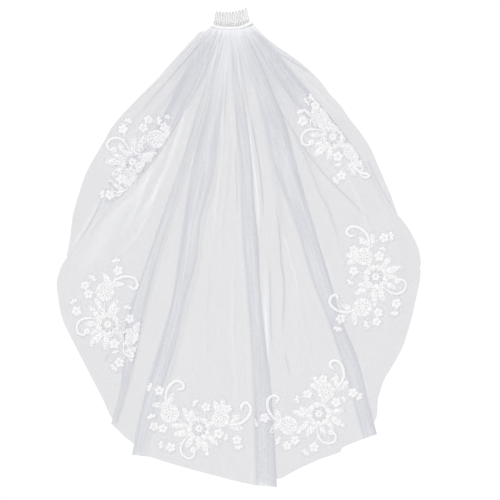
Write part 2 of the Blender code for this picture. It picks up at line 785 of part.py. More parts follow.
def main():
    for old in list(bpy.data.objects):
        bpy.data.objects.remove(old, do_unlink=True)
    tulle = make_tulle()
    pieces = [tulle, make_binding(), make_winding(), make_teeth()]
    corners = [vertex.co for vertex in tulle.data.vertices]
    tree = BVHTree.FromPolygons(corners, [tuple(p.vertices) for p in tulle.data.polygons])
    for row in APPLIQUES:
        pieces.append(make_lace(*row, tree))
    centre(pieces)


main()
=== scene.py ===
"""Looks of the bridal veil: sheer net tulle in its folds and gathers, satin ribbon, wire comb and
embroidered lace appliques, laid out flat on a white table.

The tables are in millimetres, in the frame of the part: the comb at +Y, the hem at -Y, +Z up.
"""

import math
from collections import Counter

import bpy
import numpy as np
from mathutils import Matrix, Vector
from mathutils.bvhtree import BVHTree


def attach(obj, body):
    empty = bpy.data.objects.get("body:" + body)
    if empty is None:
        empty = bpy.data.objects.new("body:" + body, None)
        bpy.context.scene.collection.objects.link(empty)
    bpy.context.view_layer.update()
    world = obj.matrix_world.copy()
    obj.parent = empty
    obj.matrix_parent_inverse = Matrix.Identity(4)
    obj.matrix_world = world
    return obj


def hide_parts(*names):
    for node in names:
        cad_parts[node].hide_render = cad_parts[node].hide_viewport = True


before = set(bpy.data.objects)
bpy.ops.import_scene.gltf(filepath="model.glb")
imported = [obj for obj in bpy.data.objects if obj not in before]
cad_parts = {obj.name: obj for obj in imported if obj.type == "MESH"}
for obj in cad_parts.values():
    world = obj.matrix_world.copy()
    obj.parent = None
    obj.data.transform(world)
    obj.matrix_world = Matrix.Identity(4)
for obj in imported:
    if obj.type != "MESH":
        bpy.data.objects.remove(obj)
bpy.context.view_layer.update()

MM = 0.001
SHIFT = (-1.3209, -0.1860)  # from the tables to the middle of the footprint

# ---- the tulle's outline and folds, as x, y ----
SEAM_EDGE = [(-55, 432), (-35, 428), (-16, 427), (6, 429), (27, 438)]
LEFT_EDGE = [
    (-55, 432), (-65, 425), (-76, 423), (-86, 413), (-115, 382), (-155, 337),
    (-194, 297), (-233, 256), (-252, 231), (-264, 209), (-286, 172), (-301, 143),
    (-317, 94),
]
RIGHT_EDGE = [
    (27, 438), (41, 423), (61, 405), (80, 391), (119, 364), (157, 329),
    (178, 301), (198, 280), (217, 252), (237, 227), (256, 198), (272, 162), (286, 129),
    (297, 104), (311, 65), (317, 58), (331, 39), (344, 16), (352, -4),
]
# A row for each fold: the edge on top, where it closes as shares of its length (never, above 1),
# and its two edges from the binding to the hem: left x, left y, right x, right y.
FOLDS = [
    ("left", (0.74, 0.86), [
        (-47, 431, -43, 430), (-70, 411, -55, 403), (-84, 387, -63, 376),
        (-98, 360, -70, 348), (-119, 317, -92, 303), (-145, 264, -119, 252),
        (-174, 215, -149, 200), (-207, 168, -184, 153), (-247, 114, -229, 102),
        (-266, 86, -260, 80), (-303, 29, -299, 25), (-339, -12, -335, -16),
    ]),
    ("left", (2, 3), [
        (-37, 428, -34, 428), (-57, 348, -53, 348), (-74, 290, -68, 290),
        (-96, 221, -86, 219), (-115, 162, -104, 159), (-145, 78, -129, 78),
        (-174, -8, -155, -8), (-198, -78, -172, -72), (-219, -137, -188, -137),
        (-225, -209, -202, -209), (-233, -282, -221, -284), (-250, -344, -239, -341),
    ]),
    ("left", (2, 3), [
        (-29, 427, -27, 427), (-41, 368, -28, 368), (-58, 290, -32, 290),
        (-80, 211, -40, 211), (-96, 133, -51, 133), (-108, 55, -74, 55),
        (-119, -23, -82, -23), (-131, -102, -104, -102), (-153, -180, -121, -180),
        (-176, -258, -145, -258), (-196, -337, -172, -337), (-209, -405, -190, -399),
    ]),
    ("right", (2, 3), [
        (-19, 427, -16, 427), (-16, 368, -12, 368), (-10, 299, 6, 299),
        (-4, 231, 18, 231), (2, 172, 25, 172), (4, 94, 29, 94),
        (8, 16, 37, 16), (16, -72, 41, -72), (23, -160, 49, -160),
        (27, -258, 61, -258), (31, -356, 68, -356), (33, -452, 74, -468),
    ]),
    ("right", (2, 3), [
        (3, 428, 7, 429), (11, 368, 36, 371), (33, 299, 67, 303),
        (49, 241, 92, 241), (63, 172, 110, 172), (92, 94, 131, 94),
        (117, 25, 153, 20), (143, -63, 178, -63), (174, -141, 200, -141),
        (200, -219, 233, -219), (223, -297, 252, -297), (243, -372, 270, -364),
    ]),
    ("right", (0.58, 0.83), [
        (15, 433, 18, 434), (30, 412, 41, 417), (48, 386, 68, 392),
        (70, 343, 97, 352), (90, 308, 126, 319), (116, 274, 155, 285),
        (149, 241, 184, 250), (188, 207, 209, 217), (221, 182, 231, 188),
        (250, 149, 253, 153), (285, 88, 287, 90), (320, 24, 322, 26), (354, -36, 356, -34),
    ]),
]
# The cells across each panel, and its hem from one folded edge to the next.
PANELS = [
    (44, [(-317, 94), (-325, 65), (-331, 16), (-337, -14)]),
    (92, [(-336, -15), (-349, -39), (-356, -63), (-356, -82), (-346, -137), (-321, -190),
          (-301, -229), (-286, -258), (-266, -297), (-249, -333), (-239, -341)]),
    (34, [(-250, -344), (-237, -356), (-223, -370), (-207, -382), (-190, -399)]),
    (120, [(-209, -405), (-174, -409), (-155, -415), (-115, -427), (-76, -438),
          (-37, -448), (2, -458), (41, -466), (57, -470), (74, -468)]),
    (104, [(33, -452), (80, -451), (100, -441), (119, -431), (159, -413), (198, -399),
          (202, -391), (237, -376), (270, -364)]),
    (110, [(243, -372), (264, -341), (270, -327), (272, -297), (284, -258), (299, -233),
          (315, -205), (325, -180), (337, -141), (346, -102), (354, -63), (356, -35)]),
    (32, [(356, -35), (355, -20), (352, -4)]),
]
ROW_COUNT = 140
ROW_CROWDING = 1.35  # crowds the rows towards the gathered edge
ROW_SPEED = 560.0  # how fast each line leaves the binding, so that the rows stay level there
FLOOR_GAP = 0.5  # the lowest layer's middle above the table
FOLD_OPENING = (0.0, 0.03)  # shares of the length over which every fold opens
BEND = 0.4  # centre-line radius of a fold's bend
BEND_OUTSIDE = 0.5  # how far a bend reaches past the straight that it ends
BEND_CLOSED = 0.4  # length of cloth in each bend where the fold has closed
LEAST_RETURN = 0.4  # the shortest straight between the two bends of a fold
LEAST_ROOM = 0.9  # from the middle of a closed fold to the flat cloth beside it
FOLD_MARGIN = 0.5  # flat cloth kept beside a folded edge
FOLD_STEPS = 160  # places along a fold's line
CLEAR_STEP = 0.1  # the least room for each cell of the cloth beside a fold that closes
CLEAR_LEAD = 0.15  # share of the length over which that room is taken up
HEM_HOLD = 0.03  # share of a panel, beside a fold that closes, over which its hem begins to bow
FALL = 9.0  # over which a panel comes down from the top of a fold
BAND_CELLS = 7  # across each of the layers that lie over or under a fold
BORDER = (0.6, 0.0, 0.0, 0.0, 0.0, 0.6)  # how far each of their points is on a folded edge
EDGES = (0.6, 1, 1, 0.6, 0, 0, 0, 0.6, 1, 1, 0.6)  # the same for the points through a fold
EDGE_FADE = (0.06, 0.3)  # shares of the length over which folded edges begin to show
SEAM_LIFT = 1.3  # of the gathered edge, to the middle of the binding
SEAM_FALL_END = 0.06  # share of the length where the tulle has come down to the table
SEAM_DEPTH = 3.2  # how far the gathered edge reaches into the binding
CREASE_TOP = 437  # y where the creases and gathers begin
CREASE_WHOLE = 425  # y where they have their whole height
CLOTH_LENGTH = 900  # from the gathered edge to the hem, in the cloth's own coordinates

# ---- soft creases in the tulle: height, half width, how much denser the net looks, and the line
# as x, y ----
CREASES = [
    (0.7, 5.5, -0.2, [(-160, 200), (-178, 140), (-202, 72), (-236, 14)]),
    (0.6, 5.0, -0.18, [(-150, 150), (-172, 80), (-198, 26), (-232, -14)]),
    (0.9, 4.0, -0.2, [(-270, 92), (-292, 56), (-314, 20), (-334, -14)]),
    (0.5, 24.0, -0.16, [(-180, 190), (-214, 110), (-262, 30), (-310, -60)]),
    (0.7, 1.8, 0.9, [(-262, 110), (-290, 50), (-311, 16)]),
    (0.7, 1.8, 0.8, [(-249, -196), (-258, -212), (-264, -223)]),
    (1.3, 4.4, -0.4, [(16, 260), (22, 211), (27, 172), (33, 133), (37, 94), (39, 16)]),
    (0.8, 2.0, 1.2, [(22, 262), (31, 211), (38, 172), (44, 120), (48, 60)]),
    (0.5, 11.0, 1.0, [(40, 320), (52, 240), (66, 170), (76, 120)]),
    (0.5, 7.0, 1.0, [(52, 240), (70, 150), (80, 80), (86, 20)]),
    (0.8, 6.0, -0.25, [(52, -43), (54, -120), (56, -200)]),
    (0.8, 2.0, 0.9, [(58, -20), (61, -90), (62, -160), (64, -200)]),
    (1.0, 2.4, 1.1, [(67, 94), (74, 65), (80, 16), (82, -27), (88, -72), (84, -180)]),
    (0.7, 2.4, -0.3, [(82, 51), (102, -23), (123, -102)]),
    (0.8, 2.0, 0.8, [(88, -204), (94, -226), (100, -249)]),
    (0.8, 2.0, 1.1, [(72, 282), (104, 232), (135, 184), (170, 141), (217, 94), (264, 47)]),
    (0.7, 2.0, 0.9, [(96, 240), (127, 184), (155, 114), (178, 67), (198, -4)]),
    (0.8, 2.4, 0.9, [(65, 388), (119, 356), (143, 339)]),
    (0.7, 2.2, 0.8, [(246, 182), (276, 120), (309, 65)]),
    (0.6, 3.0, -0.2, [(-30, 300), (-33, 200), (-44, 90), (-50, 10)]),
    (0.6, 3.6, 0.2, [(-20, 250), (-22, 140), (-33, 40), (-30, -40)]),
    (0.6, 2.2, 0.9, [(-8, 200), (-5, 130), (-4, 60)]),
    (0.4, 4.0, 0.25, [(-104, 300), (-132, 208), (-168, 126), (-212, 56)]),
    (0.5, 7.0, -0.26, [(-96, 304), (-122, 210), (-158, 120), (-205, 40)]),
    (0.4, 5.5, -0.22, [(-114, 296), (-142, 205), (-182, 130), (-226, 62)]),
    (0.5, 3.2, 0.2, [(-80, 290), (-104, 190), (-132, 100), (-170, 10)]),
    (0.3, 2.2, -0.5, [(48, -90), (54, -160), (58, -230), (60, -300)]),
    (0.6, 3.0, -0.2, [(120, 300), (160, 230), (205, 150), (240, 80), (262, 0)]),
    (0.5, 3.4, 0.2, [(104, 270), (130, 190), (170, 90), (200, 0), (212, -70)]),
    (0.5, 3.0, -0.2, [(110, 120), (136, 60), (170, -20), (190, -90)]),
    (0.7, 4.4, -0.1, [(-120, -60), (-128, -140), (-150, -230), (-170, -320)]),
    (0.6, 4.0, 0.1, [(-60, 0), (-62, -120), (-66, -230)]),
    (0.6, 4.0, -0.1, [(-10, -20), (-12, -150), (-6, -260), (0, -350)]),
    (0.6, 4.0, 0.1, [(110, -60), (130, -160), (148, -250)]),
    (0.6, 4.0, -0.1, [(216, -180), (244, -250), (258, -310)]),
    (0.5, 3.4, 0.2, [(-86, 370), (-130, 310), (-180, 250), (-220, 200)]),
    (0.5, 3.0, 0.2, [(60, 400), (100, 366), (150, 316), (200, 255)]),
    (0.6, 3.6, -0.1, [(-280, -60), (-290, -120), (-286, -190)]),
    (0.6, 3.6, 0.1, [(300, 40), (318, -20), (322, -90)]),
]
CREASE_STEPS = 24
CREASE_TAPER = 0.2  # share of its length over which a crease begins and ends
GATHER_APEX = (-14, 473)  # where the lines of the gathers would meet
GATHER_COUNT = 120
GATHER_SPREAD = 47  # degrees to each side
GATHER_START = 45  # from where they would meet to the binding
GATHER_REACH = (70, 400)  # the shortest and the longest, from the binding
GATHER_DRIFT = 0.03  # radians to each side over GATHER_RUN
GATHER_RUN = 200  # along the gather
GATHER_HEIGHT = (0.3, 1.0)
GATHER_DENSITY = (-0.9, 1.4)


# ---- small functions ----
def ramp(start, end, value):
    """How far a value, or each of many, has come from start to end, as a share."""
    return np.clip((value - start) / (end - start), 0.0, 1.0)


def smoothstep(start, end, value):
    share = ramp(start, end, value)
    return share * share * (3 - 2 * share)


def mix(a, b, share):
    return a + (b - a) * share


def bell(distance, wide):
    return np.exp(-(distance / wide) ** 2)


class Curve:
    """A smooth curve through rows of numbers, read by the share of its length."""

    def __init__(self, rows, place=lambda row: row[:2]):
        self.rows = np.array(rows, float)
        self.at = [0.0]
        for before, after in zip(self.rows, self.rows[1:]):
            self.at.append(self.at[-1] + math.dist(place(before), place(after)))

    def slope(self, index):
        low, high = max(index - 1, 0), min(index + 1, len(self.rows) - 1)
        return (self.rows[high] - self.rows[low]) / (self.at[high] - self.at[low])

    def point(self, share):
        where = min(max(share, 0.0), 1.0) * self.at[-1]
        index = 0
        while index < len(self.rows) - 2 and self.at[index + 1] < where:
            index += 1
        span = self.at[index + 1] - self.at[index]
        s = (where - self.at[index]) / span
        out, back = self.slope(index) * span, self.slope(index + 1) * span
        return (
            (2 * s**3 - 3 * s**2 + 1) * self.rows[index] + (s**3 - 2 * s**2 + s) * out
            + (3 * s**2 - 2 * s**3) * self.rows[index + 1] + (s**3 - s**2) * back
        )

    def points(self, steps):
        return np.array([self.point(step / steps) for step in range(steps + 1)])

    def nearest(self, x, y):
        """The share of the length at which the curve passes closest to x, y."""
        best, spread = 0.5, 0.5
        for _ in range(6):
            shares = [min(max(best + spread * step / 10, 0.0), 1.0) for step in range(-10, 11)]
            best = min(shares, key=lambda share: math.dist(self.point(share)[:2], (x, y)))
            spread /= 8
        return best


def xy(curve, share):
    return Vector(curve.point(share)[:2])


def at_row(curve, t):
    length = curve.at[-1]
    return (ROW_SPEED * t + (length - ROW_SPEED) * t**2) / length


def nearest_on(line, places):
    """For each place, the nearest segment of a line, the share along it, and the distance."""
    segment, share = np.zeros(len(places), int), np.zeros(len(places))
    distance = np.full(len(places), np.inf)
    for index, (start, step) in enumerate(zip(line, np.diff(line, axis=0))):
        away = places - start
        part = np.clip(away @ step / (step @ step), 0, 1)
        gap = np.hypot(away[:, 0] - step[0] * part, away[:, 1] - step[1] * part)
        nearer = gap < distance
        segment[nearer] = index
        share = np.where(nearer, part, share)
        distance = np.where(nearer, gap, distance)
    return segment, share, distance


def even_angles(count, start=0.0):
    """Angles spaced evenly round a full turn."""
    return [start + math.tau * index / count for index in range(count)]


def ring_faces(count, size, closed=False):
    """The faces between rings of points, from one ring to the next."""
    faces = []
    for ring in range(count if closed else count - 1):
        here, there = ring * size, (ring + 1) % count * size
        for corner in range(size):
            nearby = (corner + 1) % size
            faces.append((here + corner, here + nearby, there + nearby, there + corner))
    return faces


def add_object(name, data):
    made = bpy.data.objects.new(name, data)
    bpy.context.scene.collection.objects.link(made)
    return made


def mesh_object(name, points, faces, materials, uvs, slots=None):
    """A smooth piece from points of the tables, in millimetres."""
    places = np.array(points, float)
    places[:, :2] += SHIFT
    mesh = bpy.data.meshes.new(name)
    mesh.from_pydata((places * MM).tolist(), [], faces)
    for material in materials:
        mesh.materials.append(material)
    if slots is not None:
        mesh.polygons.foreach_set("material_index", slots)
    mesh.shade_smooth()
    layer = mesh.uv_layers.new(name="cloth")
    corners = np.zeros(len(mesh.loops), np.int32)
    mesh.loops.foreach_get("vertex_index", corners)
    layer.data.foreach_set("uv", np.asarray(uvs, np.float32)[corners].ravel())
    mesh.update()
    return add_object(name, mesh)


def dress(piece, node):
    """The piece rides with the veil, and stands for a node of the model."""
    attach(piece, "root")
    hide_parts(node)


# ---- the tulle ----
def middle_of(row):
    """Halfway between a fold's two edges."""
    return (row[0] + row[2]) / 2, (row[1] + row[3]) / 2


class Fold:
    """A Z-fold: the cloth runs to one edge, turns back to the other and runs on."""

    def __init__(self, top_edge, closing, rows):
        self.top_is_left = top_edge == "left"
        self.closing = closing
        self.closes = closing[0] < 1
        self.curve = Curve(rows, middle_of)
        self.line = np.array([middle_of(row) for row in self.curve.points(FOLD_STEPS)])

    def open_share(self, t):
        return ramp(*FOLD_OPENING, t) * (1 - ramp(*self.closing, t))

    def bend(self, t, heading):
        share = self.open_share(t)
        radius = mix(BEND_CLOSED, math.pi * BEND, share) / max(math.pi * share, 0.001)
        return radius * math.sin(heading), radius * (1 - math.cos(heading))

    def turn(self, t):
        return max(math.pi * self.open_share(t), 0.001)

    def straight(self, t):
        width = self.frame(t)[2]
        return max((width - 2 * BEND_OUTSIDE) * smoothstep(0.9, 1, self.open_share(t)), LEAST_RETURN)

    def height(self, t):
        return 2 * self.bend(t, self.turn(t))[1] + self.straight(t) * math.sin(self.turn(t))

    def frame(self, t):
        """The middle of the fold, the way across it from left to right, and its width."""
        share = at_row(self.curve, t)
        row = self.curve.point(share)
        left, right = Vector(row[:2]), Vector(row[2:])
        along = Vector((self.curve.point(share + 0.01) - self.curve.point(share - 0.01))[:2])
        along.normalize()
        across = ((right - left) + Vector((-along.y, along.x)) * 2).normalized()
        return (left + right) / 2, across, (right - left).length

    def section(self, t):
        """Points of the cloth through the fold, with their heights."""
        centre, across, _ = self.frame(t)
        turn, straight = self.turn(t), self.straight(t)
        sign = 1 if self.top_is_left else -1
        run, rise = self.bend(t, turn)
        x = -run - straight * math.cos(turn) / 2
        z = FLOOR_GAP + (0 if self.top_is_left else self.height(t))
        bends = [(x, z)]
        for step in (0.33, 0.67, 1.0):
            out, up = self.bend(t, turn * step)
            bends.append((x + out, z + sign * up))
        x, z = bends[-1]
        for step in (0.25, 0.5, 0.75, 1.0):
            bends.append((
                x + straight * math.cos(turn) * step, z + straight * math.sin(turn) * sign * step
            ))
        x, z = bends[-1]
        for step in (0.67, 0.33, 0.0):
            out, up = self.bend(t, turn * step)
            bends.append((x + run - out, z + sign * (rise - up)))
        return [(*(centre + across * x), z) for x, z in bends]

    def room(self, t):
        return LEAST_ROOM + self.open_share(t) * (self.frame(t)[2] / 2 + FOLD_MARGIN)

    def beside(self, t, side):
        centre, across, _ = self.frame(t)
        return centre + across * side * self.room(t)

    def clear(self, places, t, side):
        """The places beside the fold, moved out so that none crosses it where it closes, and
        their distances from its flat cloth."""
        held = ramp(self.closing[0] - CLEAR_LEAD, self.closing[0], t)
        if held == 0:
            return places, None
        places = np.array(places)
        segment, share, _ = nearest_on(self.line, places)
        run = np.diff(self.line, axis=0)[segment]
        square = np.stack([-run[:, 1], run[:, 0]], -1) * side
        square /= np.linalg.norm(square, axis=1)[:, None]
        away = places - self.line[segment] - run * share[:, None]
        distances = (away * square).sum(1)
        least = room = self.room(t)
        for index, distance in enumerate(distances):
            lack = max(least - distance, 0.0) * held
            least = max(distance, least) + CLEAR_STEP
            places[index] += square[index] * lack
            distances[index] += lack - room
        return [Vector(place) for place in places], distances


FOLD_LIST = [Fold(*row) for row in FOLDS]
LEFT_CURVE = Curve(LEFT_EDGE)
RIGHT_CURVE = Curve(RIGHT_EDGE)
SEAM_CURVE = Curve(SEAM_EDGE)


class Panel:
    """The flat cloth from one fold to the next, or from or to a side edge."""

    def __init__(self, number, cells, hem):
        self.before = FOLD_LIST[number - 1] if number else None
        self.after = FOLD_LIST[number] if number < len(FOLD_LIST) else None
        low, high = self.edges(1.0)
        curve = Curve(hem)
        start = curve.nearest(low.x, low.y) if self.before else 0.0
        end = curve.nearest(high.x, high.y) if self.after else 1.0
        self.shares = np.arange(cells + 1) / cells
        self.bows = []
        for share in self.shares:
            held = smoothstep(0, HEM_HOLD, share) if self.before and self.before.closes else 1.0
            held *= smoothstep(0, HEM_HOLD, 1 - share) if self.after and self.after.closes else 1.0
            bow = xy(curve, mix(start, end, share)) - low.lerp(high, share)
            self.bows.append(bow * held)

    def edges(self, t):
        left = self.before.beside(t, 1) if self.before else xy(LEFT_CURVE, at_row(LEFT_CURVE, t))
        right = self.after.beside(t, -1) if self.after else xy(RIGHT_CURVE, at_row(RIGHT_CURVE, t))
        return left, right

    def points(self, t):
        """The points across the panel at a share of its length, with their heights."""
        low, high = self.edges(t)
        width = (high - low).length
        fall = min(FALL, 0.8 * width)
        before = self.before.height(t) if self.before and self.before.top_is_left else 0.0
        after = self.after.height(t) if self.after and not self.after.top_is_left else 0.0
        places = [low.lerp(high, share) + bow * t**2 for share, bow in zip(self.shares, self.bows)]
        from_before, from_after = self.shares * width, (1 - self.shares) * width
        if self.before and self.before.closes:
            places, found = self.before.clear(places, t, 1)
            from_before = from_before if found is None else found
        if self.after and self.after.closes:
            places, found = self.after.clear(places[::-1], t, -1)
            places, from_after = places[::-1], from_after if found is None else found[::-1]
        height = before * (1 - smoothstep(0, fall, from_before))
        height += after * (1 - smoothstep(0, fall, from_after))
        return [(x, y, FLOOR_GAP + z) for (x, y), z in zip(places, height)]


PANEL_LIST = [Panel(number, *row) for number, row in enumerate(PANELS)]


def seam_point(share, out, z):
    """A point at a share of the gathered edge and a distance out from it."""
    place = xy(SEAM_CURVE, share)
    along = (xy(SEAM_CURVE, share + 0.02) - xy(SEAM_CURVE, share - 0.02)).normalized()
    return (place.x - along.y * out, place.y + along.x * out, z)


def to_seam(point, inward):
    return seam_point(SEAM_CURVE.nearest(point[0], point[1]), inward, point[2])


def between(start, end):
    """The points of a layer that crosses a fold's band."""
    return [
        tuple(mix(a, b, step / BAND_CELLS) for a, b in zip(start, end))
        for step in range(1, BAND_CELLS)
    ]


def tulle_row(t):
    """The points across the whole veil, and how far each is on a folded edge and in a band."""
    row, edges, bands = [], [], []

    def add(points, share=0.0, on_edge=0.0):
        row.extend(points)
        edges.extend(share * smoothstep(*EDGE_FADE, t) * np.broadcast_to(on_edge, len(points)))
        bands.extend([share] * len(points))

    for panel in PANEL_LIST:
        across = panel.points(t)
        if panel.before:
            add(between(row[-1], across[0]), panel.before.open_share(t), BORDER)
        add(across)
        if panel.after:
            section = panel.after.section(t)
            add(between(across[-1], section[0]), panel.after.open_share(t), BORDER)
            add(section, panel.after.open_share(t), EDGES)
    lift = SEAM_LIFT * (1 - smoothstep(0, SEAM_FALL_END, t))
    return [(x, y, z + lift) for x, y, z in row], edges, bands


def crease_field(places):
    """What creases and gathers add at places of the cloth: height, density, painted shade and painted
    highlight.
    """
    height, density, line, painted_highlight = np.zeros((4, len(places)))
    for tall, wide, dense, route in CREASES:
        segment, part, away = nearest_on(Curve(route).points(CREASE_STEPS), places)
        share = (segment + part) / CREASE_STEPS
        taper = ramp(0, CREASE_TAPER, np.minimum(share, 1 - share))
        height += tall * bell(away, wide) * taper
        density += dense * bell(away, 0.6 * wide) * taper
        # painted shade as a dark line on narrow creases that look much denser, painted highlight on
        # thinner ones
        if dense > 0.6 and wide < 4:
            line += 0.6 * dense * bell(away, 0.5 * wide) * taper
        elif dense < 0:
            painted_highlight += bell(away, 0.7 * wide) * taper * min(-1.2 * dense, 1)
    random = np.random.default_rng(7)
    dx, dy = places[:, 0] - GATHER_APEX[0], GATHER_APEX[1] - places[:, 1]
    angle = np.arctan2(dx, dy)
    radius = np.hypot(dx, dy)
    from_seam = radius - GATHER_START
    for index in range(GATHER_COUNT):
        step = (index + random.uniform(0.1, 0.9)) / GATHER_COUNT
        centre = math.radians(mix(-GATHER_SPREAD, GATHER_SPREAD, step))
        reach = mix(*GATHER_REACH, random.random() ** 1.8)
        tall = random.uniform(*GATHER_HEIGHT)
        dense = random.uniform(*GATHER_DENSITY)
        tone = random.uniform(-1.0, 1.0)
        drift = random.uniform(-GATHER_DRIFT, GATHER_DRIFT)
        offset = (angle - centre - drift * from_seam / GATHER_RUN) * radius
        wide = 0.7 + 0.008 * radius
        fade = ramp(reach, 0, from_seam) ** 1.2
        height += tall * fade * bell(offset, wide)
        density += dense * fade * bell(offset, 0.7 * wide)
        thread = fade * bell(offset, 0.5 * wide + 0.4)
        # at random, a painted highlight or a painted shade line along the gather's crest
        if tone > 0:
            painted_highlight += tone * thread
        else:
            line -= 0.8 * tone * thread * ramp(62, 107, radius)
    degrees = np.degrees(angle)
    inner = np.maximum(ramp(43, 37, np.abs(degrees + 1)), 0.15)
    density += 2.2 * ramp(150, 0, from_seam) ** 1.2 * inner
    # painted highlight where the light falls on the gathers, and painted shade at both sides of that
    painted_highlight += 0.75 * ramp(88, 52, radius)
    painted_highlight += 0.8 * bell(degrees + 8, 14) * ramp(190, 90, radius)
    aside = bell(np.abs(degrees + 1) - 31, 9)
    line += 0.32 * aside * ramp(300, 150, radius) * ramp(60, 90, radius)
    return height, density, line, painted_highlight


def make_tulle(material):
    shares = [(row / (ROW_COUNT - 1)) ** ROW_CROWDING for row in range(ROW_COUNT)]
    rows, edges, bands = (list(part) for part in zip(*map(tulle_row, shares)))
    rows[0] = [to_seam(point, 0.0) for point in rows[0]]
    rows.insert(0, [to_seam(point, SEAM_DEPTH) for point in rows[0]])
    edges, bands = (np.array(part[:1] + part).ravel() for part in (edges, bands))
    grid = np.array(rows)
    count, width = grid.shape[:2]
    points = grid.reshape(-1, 3)
    height, density, line, painted_highlight = crease_field(points[:, :2])
    points[:, 2] += height * ramp(CREASE_TOP, CREASE_WHOLE, points[:, 1])
    # the cloth's own coordinates: across at its widest row, and down its length
    wide = grid[int(count * 0.7)]
    u = np.concatenate([[0], np.cumsum(np.linalg.norm(np.diff(wide, axis=0), axis=1))])
    v = np.concatenate([[0.0], np.array(shares)]) * CLOTH_LENGTH
    uvs = np.stack([np.tile(u, count), np.repeat(v, width)], -1) * MM
    faces = [
        (r * width + c, (r + 1) * width + c, (r + 1) * width + c + 1, r * width + c + 1)
        for r in range(count - 1) for c in range(width - 1)
    ]
    piece = mesh_object("tulle", points, faces, [material], uvs)
    for name, values in (
        ("dense", np.clip(1 + density + 0.9 * edges, 0.4, 4.5)),
        # painted shade lines on creases, folded edges and gathers, then painted highlights
        ("line", np.clip(line + 0.6 * edges, 0, 0.85)),
        ("painted_highlight", np.clip(painted_highlight, 0, 1)),
        ("band", bands),
    ):
        layer = piece.data.attributes.new(name, "FLOAT", "POINT")
        layer.data.foreach_set("value", np.asarray(values, np.float32))
    return piece


# ---- materials ----
class Nodes:
    """Short calls that add nodes to a material."""

    def __init__(self, name):
        self.material = bpy.data.materials.new(name)
        self.material.use_nodes = True
        self.tree = self.material.node_tree
        self.shader = self.tree.nodes["Principled BSDF"]

    def add(self, kind, inputs=(), **settings):
        node = self.tree.nodes.new("ShaderNode" + kind)
        for key, value in settings.items():
            setattr(node, key, value)
        for key, value in dict(inputs).items():
            self.feed(node.inputs[key], value)
        return node

    def feed(self, socket, value):
        if isinstance(value, bpy.types.NodeSocket):
            self.tree.links.new(value, socket)
        else:
            socket.default_value = value

    def place(self):
        """Where the surface is, in metres."""
        return self.add("TexCoord").outputs["Object"]

    def cloth(self):
        """The cloth's own coordinates, in metres: both as one, across it, and along it."""
        both = self.add("UVMap", uv_map="cloth").outputs[0]
        return (both, *self.split(both)[:2])

    def split(self, vector):
        return self.add("SeparateXYZ", {0: vector}).outputs

    def join(self, x, y):
        return self.add("CombineXYZ", {0: x, 1: y}).outputs[0]

    def attribute(self, name):
        return self.add("Attribute", attribute_name=name).outputs["Fac"]

    def math(self, operation, a, b=0.0, c=0.0):
        return self.add("Math", {0: a, 1: b, 2: c}, operation=operation).outputs[0]

    def times(self, a, b):
        return self.math("MULTIPLY", a, b)

    def plus(self, a, b):
        return self.math("ADD", a, b)

    def minus(self, a, b):
        return self.math("SUBTRACT", a, b)

    def noise(self, vector, scale, detail=2.0, roughness=0.5, output="Fac"):
        return self.add("TexNoise", {
            "Vector": vector, "Scale": scale, "Detail": detail, "Roughness": roughness,
        }).outputs[output]

    def blend(self, share, a, b):
        node = self.add("Mix", {"Factor": share, "A": a, "B": b}, data_type="RGBA")
        return node.outputs["Result"]

    def range(self, value, low, high, to_low=0.0, to_high=1.0):
        return self.add("MapRange", {
            "Value": value, "From Min": low, "From Max": high, "To Min": to_low, "To Max": to_high,
        }).outputs["Result"]

    def bump(self, height, strength, distance):
        node = self.add("Bump", {"Height": height, "Strength": strength, "Distance": distance})
        return node.outputs["Normal"]

    def shade(self, **inputs):
        for key, value in inputs.items():
            self.feed(self.shader.inputs[key.replace("_", " ")], value)
        return self.material


NET_PITCH = 1.2 * MM
NET_WARP = 0.006  # metres by which the net's lines are pulled about
PATCH_PITCH = 1.3 * MM
STITCH_PITCH = 0.9 * MM
LAYER_ALPHA = 0.80
TULLE_LIGHT = (0.726, 0.727, 0.745, 1)
TULLE_CLOUD = (0.69, 0.694, 0.718, 1)
TULLE_BAND = (0.787, 0.797, 0.815, 1)
TULLE_DEEP = (0.722, 0.732, 0.775, 1)
# painted light: a highlight on gathers and creases, a brighter strip by the binding, and shade along
# lines, also the mottle's colour in the bands
TULLE_PAINTED_HIGHLIGHT = (0.83, 0.835, 0.865, 1)
TULLE_BINDING_HIGHLIGHT = (0.92, 0.925, 0.95, 1)
TULLE_MOTTLE_AND_SHADE = (0.56, 0.565, 0.63, 1)


def net_lines(nodes, u, v, pitch):
    """A hexagonal net from three families of waves: high in the threads, low in the holes."""
    turn = math.tau / pitch
    half_u = nodes.times(u, turn / 2)
    rise_v = nodes.times(v, turn * math.sqrt(3) / 2)
    families = (nodes.times(u, turn), nodes.plus(half_u, rise_v), nodes.minus(half_u, rise_v))
    first, second, third = [nodes.math("COSINE", family) for family in families]
    return nodes.range(nodes.plus(nodes.plus(first, second), third), -1.5, 1.6, 1.0, 0.0)


